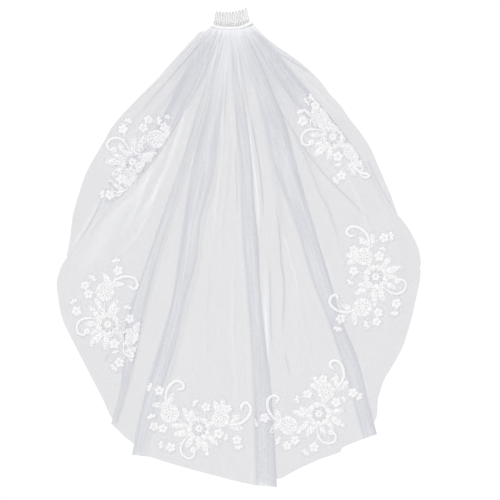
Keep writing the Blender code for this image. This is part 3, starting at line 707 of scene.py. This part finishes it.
def tulle_material():
    """Sheer net that hides more where it is denser, in bands, gathers, lines and clouds, with painted
    highlight and shade.
    """
    nodes = Nodes("tulle_net")
    uv, u, v = nodes.cloth()
    warp = nodes.noise(uv, 70.0, 1.0, output="Color")
    pull = nodes.add("SeparateColor", {0: warp}).outputs
    net = net_lines(
        nodes, nodes.math("MULTIPLY_ADD", pull[0], NET_WARP, u),
        nodes.math("MULTIPLY_ADD", pull[1], NET_WARP, v), NET_PITCH,
    )
    streak = nodes.noise(nodes.join(nodes.times(u, 170), nodes.times(v, 9)), 1.0, 3.0, 0.55)
    x, y, _ = nodes.split(nodes.place())
    across = nodes.minus(x, (GATHER_APEX[0] + SHIFT[0]) * MM)
    down = nodes.minus((GATHER_APEX[1] + SHIFT[1]) * MM, y)
    angle = nodes.math("ARCTAN2", across, down)
    radius = nodes.math("SQRT", nodes.plus(nodes.times(across, across), nodes.times(down, down)))
    gather = nodes.noise(nodes.join(nodes.times(angle, 85), nodes.times(radius, 9)), 1.0, 4.0, 0.6)
    fade = nodes.range(radius, 0.05, 0.36, 1.0, 0.12)

    dense = nodes.attribute("dense")
    wander = nodes.range(streak, 0.3, 0.7, 0.97, 1.03)
    rough = nodes.math("MULTIPLY_ADD", nodes.range(gather, 0.3, 0.7, -0.75, 0.75), fade, 1.0)
    layers = nodes.times(dense, nodes.times(wander, rough))
    cover = nodes.minus(1.0, nodes.math("POWER", 1 - LAYER_ALPHA, layers))
    weave = nodes.times(nodes.range(net, 0, 1, -0.16, 0.16), nodes.range(dense, 1, 3, 1.0, 0.15))
    alpha = nodes.math("MINIMUM", nodes.plus(cover, weave), 1.0)

    band = nodes.attribute("band")
    grain = nodes.noise(uv, 230.0, 2.0, 0.7)
    mixed = nodes.math("MULTIPLY_ADD", grain, 0.4, nodes.times(streak, 0.6))
    mottle = nodes.times(nodes.range(mixed, 0.58, 0.42), band)
    # painted highlight on some gathers, fading away from where they meet
    painted_gather_highlight = nodes.times(nodes.range(gather, 0.54, 0.70, 0.0, 0.7), fade)
    colour = TULLE_LIGHT
    for share, tone in (
        (nodes.range(dense, 1.0, 3.2), TULLE_DEEP),
        (nodes.range(nodes.noise(uv, 9.0), 0.35, 0.65, 0.0, 0.3), TULLE_CLOUD),
        (band, TULLE_BAND),
        (nodes.times(mottle, 0.4), TULLE_MOTTLE_AND_SHADE),
        # painted highlights, a painted brighter strip by the binding, and painted shade along lines
        (nodes.math("MAXIMUM", painted_gather_highlight, nodes.attribute("painted_highlight")), TULLE_PAINTED_HIGHLIGHT),
        (nodes.range(radius, 0.048, 0.060, 0.9, 0.0), TULLE_BINDING_HIGHLIGHT),
        (nodes.attribute("line"), TULLE_MOTTLE_AND_SHADE),
    ):
        colour = nodes.blend(share, colour, tone)
    return nodes.shade(
        Base_Color=colour, Roughness=0.75, Alpha=alpha, Specular_IOR_Level=0.3,
        Sheen_Weight=0.1, Sheen_Roughness=0.4, Normal=nodes.bump(net, 0.25, 0.0002),
    )


def satin_material():
    nodes = Nodes("ribbon_satin")
    place = nodes.place()
    weave = nodes.add("TexWave", {
        "Vector": place, "Scale": 900.0, "Distortion": 1.5, "Detail": 1.0,
    }, wave_type="BANDS", bands_direction="X").outputs["Fac"]
    colour = nodes.blend(nodes.noise(place, 180.0), (0.96, 0.96, 0.97, 1), (0.99, 0.99, 0.99, 1))
    return nodes.shade(
        Base_Color=colour, Roughness=0.38, Anisotropic=0.4, Sheen_Weight=0.2,
        Normal=nodes.bump(weave, 0.15, 0.0002),
    )


def thread_material(name, light, dark):
    """Satin stitches that run across a cord or petal."""
    nodes = Nodes(name)
    across = nodes.cloth()[1]
    stitch = nodes.math("SINE", nodes.times(across, math.tau / STITCH_PITCH))
    cloud = nodes.range(nodes.noise(nodes.place(), 420.0, 3.0), 0.3, 0.7, 0.0, 0.45)
    shade = nodes.plus(nodes.range(stitch, -1, 1, 0.0, 0.55), cloud)
    return nodes.shade(
        Base_Color=nodes.blend(shade, dark, light), Roughness=0.6, Sheen_Weight=0.25,
        Normal=nodes.bump(stitch, 0.35, 0.0003),
    )


def fill_material(name, light, dark):
    """Raised stitches with darker pricks between them."""
    nodes = Nodes(name)
    cells = nodes.add("TexVoronoi", {"Vector": nodes.place(), "Scale": 330.0})
    spot = nodes.range(cells.outputs["Distance"], 0.35, 0.75)
    return nodes.shade(
        Base_Color=nodes.blend(spot, light, dark), Roughness=0.65, Sheen_Weight=0.2,
        Normal=nodes.bump(spot, 0.3, 0.0003),
    )


def net_patch_material(name, light, dark):
    nodes = Nodes(name)
    uv, u, v = nodes.cloth()
    net = net_lines(nodes, u, v, PATCH_PITCH)
    return nodes.shade(
        Base_Color=nodes.blend(nodes.noise(uv, 60.0), dark, light), Roughness=0.8,
        Specular_IOR_Level=0.2, Alpha=nodes.range(net, 0, 1, 0.06, 0.24),
        Normal=nodes.bump(net, 0.2, 0.0002),
    )


def wire_material(name, light, dark):
    nodes = Nodes(name)
    cloud = nodes.noise(nodes.place(), 300.0, 3.0)
    return nodes.shade(
        Base_Color=nodes.blend(cloud, dark, light), Metallic=0.7, Roughness=0.35,
        Normal=nodes.bump(cloud, 0.1, 0.0001),
    )


def table_material():
    nodes = Nodes("white_table")
    cloud = nodes.noise(nodes.place(), 3.0)
    return nodes.shade(
        Base_Color=nodes.blend(cloud, (0.94, 0.94, 0.94, 1), (0.96, 0.96, 0.96, 1)),
        Roughness=0.9, Specular_IOR_Level=0.1,
        Emission_Color=(1, 1, 1, 1), Emission_Strength=0.08,
    )


# ---- camera, light and table ----
PIXEL = 1.957  # millimetres of table to a pixel of the frame
FRAME_PIXELS = 500
ORIGIN_PIXEL = (239, 248)  # the tables' origin in the frame, from its upper left
SENSOR = 36.0
CAMERA_HEIGHT = 3.2  # metres
WORLD_STRENGTH = 0.62
SUN_STRENGTH = 1.45
SUN_DIRECTION = (0.42, -0.5, -1)
SUN_ANGLE = 30  # degrees, for soft shadows
TABLE_REACH = 14.0  # metres to each side


def add_camera():
    data = bpy.data.cameras.new("camera")
    data.sensor_width = SENSOR
    data.lens = SENSOR * CAMERA_HEIGHT / (FRAME_PIXELS * PIXEL * MM)
    data.clip_end = 50
    camera = add_object("camera", data)
    x = (FRAME_PIXELS / 2 - ORIGIN_PIXEL[0]) * PIXEL + SHIFT[0]
    y = (ORIGIN_PIXEL[1] - FRAME_PIXELS / 2) * PIXEL + SHIFT[1]
    camera.location = (x * MM, y * MM, CAMERA_HEIGHT)
    bpy.context.scene.camera = camera


def add_sun():
    data = bpy.data.lights.new("key", "SUN")
    data.energy = SUN_STRENGTH
    data.angle = math.radians(SUN_ANGLE)
    light = add_object("key", data)
    light.rotation_mode = "QUATERNION"
    light.rotation_quaternion = Vector(SUN_DIRECTION).to_track_quat("-Z", "Y")


def add_world():
    world = bpy.data.worlds.new("studio")
    world.use_nodes = True
    background = world.node_tree.nodes["Background"]
    background.inputs["Color"].default_value = (1, 1, 1, 1)
    background.inputs["Strength"].default_value = WORLD_STRENGTH
    bpy.context.scene.world = world


def add_table():
    mesh = bpy.data.meshes.new("table")
    corners = [(-1, -1), (1, -1), (1, 1), (-1, 1)]
    mesh.from_pydata([(x * TABLE_REACH, y * TABLE_REACH, 0) for x, y in corners], [], [(0, 1, 2, 3)])
    mesh.materials.append(table_material())
    floor = add_object("table", mesh)


# ---- ribbon and comb ----
RIBBON_WIDTH = 5.0
RIBBON_HEIGHT = 4.8
RIBBON_LENGTH = 84  # along the gathered edge, in the satin's own coordinates
RIBBON_STATIONS = 120
COMB_INSET = 3.0  # of the comb's ends from the binding's
COMB_ROOT = RIBBON_WIDTH + 0.5  # how far out from the gathered edge the teeth begin
TOOTH_COUNT = 20
TOOTH_TIPS = [(-47, 462), (-32, 461), (-16, 461), (0, 464), (15, 469)]  # the line they end on
TOOTH_HEIGHT = 1.5
TOOTH_RADIUS = 0.7
WINDING_TURNS = 34
WINDING_STEPS = 8
WINDING_REACH = 4.0  # how far the wire swings to each side of its middle
WINDING_RISE = 1.25
WINDING_RADIUS = 0.27
# How far out each of the spine's two wires is, and its radius.
SPINES = [(COMB_ROOT + 2 * WINDING_REACH + 0.4, 0.75), (COMB_ROOT + 0.8, 0.6)]
SPINE_STEPS = 60
SPINE_HEIGHT = 1.6


def comb_share(share):
    length = SEAM_CURVE.at[-1]
    return (COMB_INSET + share * (length - 2 * COMB_INSET)) / length


class Shape:
    """Points, faces and cloth coordinates of a piece that is made from several forms."""

    def __init__(self):
        self.points = []
        self.faces = []
        self.uvs = []
        self.slots = []

    def add(self, points, faces, uvs, slot=0):
        start = len(self.points)
        self.points += [tuple(point) for point in points]
        self.uvs += [tuple(uv) for uv in uvs]
        self.faces += [tuple(start + corner for corner in face) for face in faces]
        self.slots += [slot] * len(faces)

    def tube(self, line, radii, sides=6, flatten=1.0, closed=False):
        """A round cord along a line of x, y, z."""
        line = [Vector(point) for point in line]
        count = len(line)
        points, uvs = [], []
        run = 0.0
        for index, place in enumerate(line):
            before = line[index - 1] if index or closed else line[0]
            after = line[(index + 1) % count] if index < count - 1 or closed else line[-1]
            along = (after - before).normalized()
            if index:
                run += (place - line[index - 1]).length
            side = along.cross(Vector((0, 0, 1)))
            side = side.normalized() if side.length > 0.05 else Vector((1, 0, 0))
            up = side.cross(along).normalized() * flatten
            radius = radii[index] if hasattr(radii, "__len__") else radii
            for corner, angle in enumerate(even_angles(sides)):
                points.append(place + (side * math.cos(angle) + up * math.sin(angle)) * radius)
                uvs.append((run * MM, corner / sides * MM * 4))
        faces = [(a, d, c, b) for a, b, c, d in ring_faces(count, sides, closed)]
        if not closed:
            faces.append(tuple(range(sides)))
            faces.append(tuple(range(count * sides - sides, count * sides))[::-1])
        self.add(points, faces, uvs)

    def piece(self, name, material):
        return mesh_object(name, self.points, self.faces, [material], self.uvs)


def make_ribbon(material):
    """A satin ribbon folded over the gathered edge, softly puckered by its stitches."""
    wide, high, inside = RIBBON_WIDTH, RIBBON_HEIGHT, SEAM_DEPTH + 0.3
    section = [
        (0.0, 0.05), (2.5, 0.0), (wide - 0.5, 0.1), (wide, 0.9), (wide, 2.4),
        (wide, high - 0.9), (wide - 0.5, high - 0.15), (3.6, high), (2.0, high - 0.1),
        (0.6, high - 0.3), (0.0, high - 1.0), (0.0, high - 1.6), (inside, high - 1.6),
        (inside, 0.8), (0.0, 0.5),
    ]
    size = len(section)
    points, uvs = [], []
    for index in range(RIBBON_STATIONS + 1):
        share = index / RIBBON_STATIONS
        pucker = 0.22 * math.sin(index * 1.31) + 0.14 * math.sin(index * 0.53 + 1)
        for corner, (out, z) in enumerate(section):
            z += pucker if 6 <= corner <= 10 else 0
            out += 0.5 * pucker if out == 0.0 else 0
            points.append(seam_point(share, out, max(z, 0.05)))
            uvs.append((share * RIBBON_LENGTH * MM, corner * MM))
    faces = ring_faces(RIBBON_STATIONS + 1, size)
    faces.append(tuple(range(size))[::-1])
    faces.append(tuple(range(len(points) - size, len(points))))
    return mesh_object("ribbon", points, faces, [material], uvs)


TIP_CURVE = Curve(TOOTH_TIPS)


def tooth_tip(share):
    return Vector((*xy(TIP_CURVE, share), TOOTH_HEIGHT))


def make_comb(tooth_material, winding_material):
    """Long wire loops for teeth, two spine wires, and a fine wire wound round them."""
    teeth, winding = Shape(), Shape()
    for loop in range(TOOTH_COUNT // 2):
        ends = [(2 * loop + side + 0.5) / TOOTH_COUNT for side in (0, 1)]
        middle = tooth_tip(sum(ends) / 2)
        wires, bends = [], []
        for share in ends:
            start = Vector(seam_point(comb_share(share), COMB_ROOT, TOOTH_HEIGHT))
            wires.append([start.lerp(tooth_tip(share), part) for part in (0, 0.25, 0.5, 0.75, 0.93)])
            bends.append(tooth_tip(share).lerp(middle, 0.15))
        top = middle + Vector((0, 0.7, 0))
        teeth.tube(wires[0] + [bends[0], top, bends[1]] + wires[1][::-1], TOOTH_RADIUS, sides=8)
    for out, radius in SPINES:
        line = [
            seam_point(comb_share(step / SPINE_STEPS), out, SPINE_HEIGHT)
            for step in range(SPINE_STEPS + 1)
        ]
        winding.tube(line, radius, sides=8)
    for turn in range(WINDING_TURNS):
        line = []
        for step in range(WINDING_STEPS + 1):
            part = step / WINDING_STEPS
            angle = part * math.tau
            out = COMB_ROOT + WINDING_REACH + 0.6 - math.cos(angle) * WINDING_REACH
            share = comb_share((turn + 0.12 + 0.5 * part) / WINDING_TURNS)
            line.append(seam_point(share, out, SPINE_HEIGHT + WINDING_RISE * math.sin(angle)))
        winding.tube(line, WINDING_RADIUS, sides=5)
    return teeth.piece("comb_loops", tooth_material), winding.piece("comb_wrap", winding_material)


# ---- the lace ----
# Great flower and rosettes: x, y, radius, petals.
FLOWERS = [(0, 0, 24, 9), (-57, 30, 18, 7), (42, 20, 17, 7)]
# Small flowers and three-petal sprigs: x, y, radius, petals, turn in degrees.
BLOSSOMS = [
    (-77, 74, 10.5, 5, 20), (-88, 4, 9.5, 5, 50), (-70, 0, 10, 5, 10), (14, 42, 10, 5, 30),
    (39, -10, 11, 5, 0), (-55, -37, 10.5, 5, 40), (75, -22, 10.5, 5, 15), (56, 39, 9.5, 5, 60),
    (-4, 48, 10, 3, 140), (-92, 80, 11, 3, 160), (-91, 20, 11, 3, 110), (-70, -32, 10, 3, 175),
    (70, 20, 9, 3, 60), (77, -32, 11, 3, -80), (50, -16, 9, 3, -20),
]
# Leaves: x and y at the base, x and y at the tip, width.
LEAVES = [
    (-60, 46, -91, 47, 9), (-62, 48, -49, 70, 8), (-20, 4, -58, 7, 9), (-20, -7, -50, -11, 10),
    (-16, 12, -31, 43, 9), (-12, 16, -15, 37, 8), (8, -18, 16, -52, 12), (17, -14, 37, -31, 9),
    (62, 8, 80, 28, 8), (38, 32, 30, 55, 8), (42, 34, 48, 58, 8), (58, 6, 86, 0, 9),
    (-14, -18, -25, -37, 8), (0, -20, -3, -40, 7), (20, 12, 34, 8, 7),
]
# Scrolls: width, radius of the ball that each ends in, and the centre line.
SCROLLS = [
    (7.0, 4.0, [(-61, 42), (-65, 60), (-60, 80), (-46, 93), (-33, 90), (-30, 80), (-38, 77)]),
    (7.0, 4.0, [(52, 10), (68, 8), (86, 13), (99, 28), (101, 42), (92, 51), (84, 46), (83, 38)]),
    (5.6, 7.0, [(-20, -12), (-31, -25), (-36, -40), (-30, -53), (-18, -58), (-9, -51), (-11, -42)]),
]
# Stems, as x and y at each end.
STEMS = [
    (-63, 54, -76, 70), (-78, 76, -92, 80), (-64, 18, -70, 4), (-88, 20, -88, 6),
    (8, 20, 14, 38), (12, 44, -2, 48), (24, 8, 30, 14), (42, 8, 40, -4),
    (66, 4, 74, -16), (-31, -26, -50, -34), (-58, -37, -70, -32), (-20, 6, -44, 20),
    (-46, 12, -44, 20), (50, 30, 56, 36), (-86, 3, -72, 1), (62, 10, 70, 18),
]
# Node, x and y of the great flower, turn in degrees, the fold it is folded with, the side of that
# fold that its middle lies on, with 1 for the right, and the least room for what is folded under.
APPLIQUES = [
    ("lace_upper_left", -208, 168, 252, 0, -1, 62),
    ("lace_middle_left", -256, -150, -57, 1, -1, 50),
    ("lace_bottom_left", -78, -354, 0, None, 0, 0),
    ("lace_bottom_right", 157, -325, 48, 3, 1, 0),
    ("lace_middle_right", 268, -57, 94, 4, 1, 0),
    ("lace_upper_right", 184, 217, -61, 5, -1, 62),
]
CORD = 0.75
GREAT_RADIUS = 20
SCROLL_STEPS = 40
GROUND = 1  # places on the materials, after the thread's
FILL = 2
SHADE = 3
UNDER = 4  # how many places on the materials lie for what is seen through the tulle
NET_CELL = 2.6
NET_REACH = 4.0  # how far the lace's ground reaches past the embroidery
NET_MARGIN = 30  # searched beyond the outermost flowers
LACE_LIFT = 0.12  # above the tulle
RAY_START = 0.05  # metres above the table


def lobe(length, width, lean, count):
    """The edge of a petal or leaf along x, wider at its tip where lean is above zero."""
    edge = []
    for angle in even_angles(count):
        along = (1 - math.cos(angle)) / 2
        edge.append((along * length, math.sin(angle) * width / 2 * (1 + lean * (2 * along - 1))))
    return edge


def turned(x, y, turn, px, py, pz):
    cosine, sine = math.cos(turn), math.sin(turn)
    return (x + px * cosine - py * sine, y + px * sine + py * cosine, pz)


def pad(shape, x, y, turn, start, length, width, high, lean=0.3, rings=3, around=14, groove=0.2,
        slot=0):
    """A puffed petal or leaf of satin stitches, with a sunk vein down its middle."""
    edge = lobe(length, width, lean, around)
    middle = length * (0.5 + 0.15 * lean)
    points = []
    for ring in range(rings, -1, -1):
        grow = max(ring / rings, 0.12)
        for px, py in edge:
            px, py = middle + (px - middle) * grow, py * grow
            vein = groove * math.exp(-(py / (0.14 * width)) ** 2)
            points.append((px, py, 0.15 + high * (1 - grow**2) ** 0.6 - vein))
    points += [(px, py, 0.0) for px, py in edge]
    faces = ring_faces(rings + 1, around)
    base = (rings + 1) * around
    faces.append(tuple(range(base - around, base)))
    for corner in range(around):
        nearby = (corner + 1) % around
        faces.append((base + corner, base + nearby, nearby, corner))
    faces.append(tuple(range(base, base + around))[::-1])
    places = [turned(x, y, turn, start + px, py, pz) for px, py, pz in points]
    shape.add(places, faces, [(px * MM, py * MM) for px, py, _ in points], slot)


def rim(shape, x, y, turn, start, length, width, z, lean=0.3, radius=CORD, count=16):
    """A cord round the edge of a petal or leaf."""
    line = [turned(x, y, turn, start + px, py, z) for px, py in lobe(length, width, lean, count)]
    shape.tube(line, radius, closed=True)


def eyelet(shape, x, y, turn, size, z, radius):
    """A small ring of cord."""
    rim(shape, x, y, turn, -size / 2, size, size, z, 0, radius, 8)


def add_flower(shape, x, y, radius, petals, turn):
    """Two rounds of petals and a ring of eyelets, with a small blossom in the heart."""
    wide = 2.0 * radius * math.sin(math.pi / petals)
    # a flat disc of painted shade in the flower's middle, showing between petals and eyelets as
    # shadowed openwork
    pad(shape, x, y, 0, -0.62 * radius, 1.24 * radius, 1.24 * radius, 0, 0, 5, 24, 0, SHADE)
    for angle in even_angles(petals, turn):
        pad(shape, x, y, angle, 0.53 * radius, 0.47 * radius, 0.9 * wide, 0.5, slot=FILL)
        rim(shape, x, y, angle, 0.53 * radius, 0.47 * radius, 0.88 * wide, 0.6)
        if radius < GREAT_RADIUS:
            inner = angle + math.pi / petals
            pad(shape, x, y, inner, 0.26 * radius, 0.36 * radius, 0.36 * wide, 0.9)
    eyelets = petals + 1 if radius >= GREAT_RADIUS else 0
    for angle in even_angles(eyelets, turn):
        place = turned(x, y, angle, 0.42 * radius, 0, 0)[:2]
        eyelet(shape, *place, angle, 0.12 * radius, 0.9, 0.7)
    for angle in even_angles(6, turn):
        pad(shape, x, y, angle, 0.03 * radius, 0.32 * radius, 0.32 * radius, 1.3, 0.3, 2, 8)
    eyelet(shape, x, y, 0, 0.12 * radius, 1.5, 0.5)


def add_blossom(shape, x, y, radius, petals, turn):
    """A small flower, or a sprig where it has three petals."""
    whole = petals > 3
    step = math.tau / petals if whole else math.radians(52)
    wide = (0.86 if whole else 0.6) * radius
    for index in range(petals):
        angle = math.radians(turn) + (index - (petals - 1) / 2) * step
        pad(shape, x, y, angle, 0.08 * radius, 0.92 * radius, wide, 1.2, 0.15, 3, 12)
    if whole:
        eyelet(shape, x, y, 0, 0.26 * radius, 1.5, 0.6)


def stretch(start_x, start_y, end_x, end_y, steps, third):
    """Points from one end to the other, with the same third number."""
    shares = [step / steps for step in range(steps + 1)]
    return [(mix(start_x, end_x, share), mix(start_y, end_y, share), third) for share in shares]


def motif():
    """The whole spray of flowers, leaves, scrolls and stems, on a patch of net."""
    shape = Shape()
    reach = [row[:3] for row in FLOWERS + BLOSSOMS]  # x, y and radius of what the net lies under
    for index, flower in enumerate(FLOWERS):
        add_flower(shape, *flower, 0.3 + 0.5 * index)
    for blossom in BLOSSOMS:
        add_blossom(shape, *blossom)
    for *ends, width in LEAVES:
        x, y, tip_x, tip_y = ends
        turn = math.atan2(tip_y - y, tip_x - x)
        length = math.dist((x, y), (tip_x, tip_y))
        pad(shape, x, y, turn, 0, length, 1.2 * width, 0.6, -0.15, 3, 18, 0.4, FILL)
        rim(shape, x, y, turn, 0, length, 1.3 * width, 0.6, -0.15, 0.8, 22)
        shape.tube([turned(x, y, turn, length * s / 5, 0, 0.7) for s in (1, 2, 3, 4)], 0.5)
        reach += stretch(*ends, 4, 3)
    for width, ball, rows in SCROLLS:
        line = Curve(rows).points(SCROLL_STEPS)
        radii = [
            width / 2 * (0.5 + 0.5 * smoothstep(0, 0.35, step / SCROLL_STEPS))
            for step in range(SCROLL_STEPS + 1)
        ]
        shape.tube([(x, y, 0.8) for x, y in line], radii, sides=8, flatten=0.34)
        for angle in even_angles(6):
            pad(shape, *line[-1], angle, 0, ball, ball, 1.3, 0.2, 2, 8)
        reach += [(x, y, 2) for x, y in line[::3]]
    for stem in STEMS:
        shape.tube(stretch(*stem, 6, 0.5), 1.1, flatten=0.7)
        reach += stretch(*stem, 3, 1)
    add_net_patch(shape, np.array(reach))
    return shape


def add_net_patch(shape, reach):
    """The piece of fine net that the embroidery is worked on, trimmed close to it."""
    spots, radii = reach[:, :2], reach[:, 2]
    low, high = spots.min(0) - NET_MARGIN, spots.max(0) + NET_MARGIN
    wide, tall = ((high - low) / NET_CELL).astype(int)
    places, number, faces = [], {}, []
    for row, column in np.ndindex(tall, wide):
        middle = low + (np.array((column, row)) + 0.5) * NET_CELL
        if (np.hypot(*(spots - middle).T) - radii).min() >= NET_REACH:
            continue
        corners = ((row, column), (row, column + 1), (row + 1, column + 1), (row + 1, column))
        for r, c in corners:
            if (r, c) not in number:
                number[r, c] = len(places)
                places.append(low + np.array((c, r)) * NET_CELL)
        faces.append(tuple(number[corner] for corner in corners))
    edges = Counter(frozenset(pair) for face in faces for pair in zip(face, face[1:] + face[:1]))
    around = {}
    for pair, count in edges.items():
        if count == 1:
            a, b = pair
            around.setdefault(a, []).append(b)
            around.setdefault(b, []).append(a)
    places = np.array(places)
    for _ in range(4):
        places[list(around)] = [
            (places[corner] + places[near].mean(0)) / 2 for corner, near in around.items()
        ]
    shape.add([(x, y, 0.02) for x, y in places], faces, places * MM, GROUND)


class Wrap:
    """Carries a flat applique round a fold with the cloth that it is sewn to."""

    def __init__(self, fold, side, least):
        rows = [fold.frame(step / FOLD_STEPS) for step in range(FOLD_STEPS + 1)]
        self.room = np.array([max(width, least) for _, _, width in rows])
        self.edge = np.array([centre - across * (side * width / 2) for centre, across, width in rows])
        self.outward = np.array([across * -side for _, across, _ in rows])
        self.own_is_top = fold.top_is_left == (side == 1)

    def carry(self, places):
        """Where places of the flat cloth lie, and which of them are below or turned over."""
        near, part, gap = nearest_on(self.edge, places)
        foot = self.edge[near] + np.diff(self.edge, axis=0)[near] * part[:, None]
        room = self.room[near]
        turned_over = ((places - foot) * self.outward[near]).sum(1) > 0
        below = ~turned_over & (gap < room) & (not self.own_is_top)
        back = room * (1 - np.exp(-gap / room)) / np.maximum(gap, 0.001)
        folded = foot - (places - foot) * back[:, None]
        return np.where(turned_over[:, None], folded, places), below, turned_over


def cloth_top(tree, x, y):
    """The height of the tulle at x, y, or of the table beside it."""
    start = Vector(((x + SHIFT[0]) * MM, (y + SHIFT[1]) * MM, RAY_START))
    hit = tree.ray_cast(start, Vector((0, 0, -1)))[0]
    return hit.z / MM if hit else 0.0


def make_lace(node, x, y, turn, fold, side, least, spray, tree, materials):
    """One spray laid on the tulle, with its share beyond a fold turned under."""
    flat = np.array([turned(x, y, math.radians(turn), *point) for point in spray.points])
    places, heights = flat[:, :2], flat[:, 2]
    below = turned_over = np.zeros(len(flat), bool)
    if fold is not None:
        places, below, turned_over = Wrap(FOLD_LIST[fold], side, least).carry(places)
    heights = heights * (1.0 - 0.3 * below - 0.1 * turned_over)
    points = [
        (px, py, cloth_top(tree, px, py) + LACE_LIFT + high)
        for (px, py), high in zip(places, heights)
    ]
    under = below | turned_over
    slots = [
        slot + UNDER * all(under[corner] for corner in face)
        for slot, face in zip(spray.slots, spray.faces)
    ]
    piece = mesh_object(node + "_spray", points, spray.faces, materials, spray.uvs, slots)
    piece.visible_shadow = False
    dress(piece, node)
    return piece


# ---- everything together ----
def main():
    bpy.context.scene.view_settings.view_transform = "Standard"
    add_camera()
    add_world()
    add_sun()
    add_table()

    tulle = make_tulle(tulle_material())
    ribbon = make_ribbon(satin_material())
    loops, wrap = make_comb(
        wire_material("comb_wire", (0.90, 0.90, 0.91, 1), (0.75, 0.75, 0.76, 1)),
        wire_material("winding_wire", (0.95, 0.95, 0.95, 1), (0.85, 0.85, 0.86, 1)),
    )
    tulle.visible_shadow = False
    wrap.visible_shadow = False
    dress(tulle, "tulle_panel")
    dress(ribbon, "ribbon_binding")
    dress(loops, "comb_teeth")
    dress(wrap, "comb_winding")

    lace_materials = [
        thread_material("lace_thread", (1.0, 1.0, 1.0, 1), (0.93, 0.93, 0.945, 1)),
        net_patch_material("lace_ground", (0.77, 0.755, 0.80, 1), (0.72, 0.70, 0.76, 1)),
        fill_material("lace_fill", (1.0, 1.0, 1.0, 1), (0.76, 0.755, 0.785, 1)),
        # painted shade for the dark disc in each flower, here and in lace_shade_under
        thread_material("lace_shade", (0.76, 0.75, 0.785, 1), (0.66, 0.65, 0.69, 1)),
        thread_material("lace_thread_under", (1.0, 0.995, 1.0, 1), (0.89, 0.88, 0.92, 1)),
        net_patch_material("lace_ground_under", (0.72, 0.71, 0.755, 1), (0.67, 0.655, 0.715, 1)),
        fill_material("lace_fill_under", (0.98, 0.975, 0.99, 1), (0.69, 0.68, 0.735, 1)),
        thread_material("lace_shade_under", (0.73, 0.715, 0.77, 1), (0.65, 0.635, 0.70, 1)),
    ]
    corners = [vertex.co for vertex in tulle.data.vertices]
    tree = BVHTree.FromPolygons(corners, [tuple(p.vertices) for p in tulle.data.polygons])
    spray = motif()
    laces = [make_lace(*row, spray, tree, lace_materials) for row in APPLIQUES]


main()
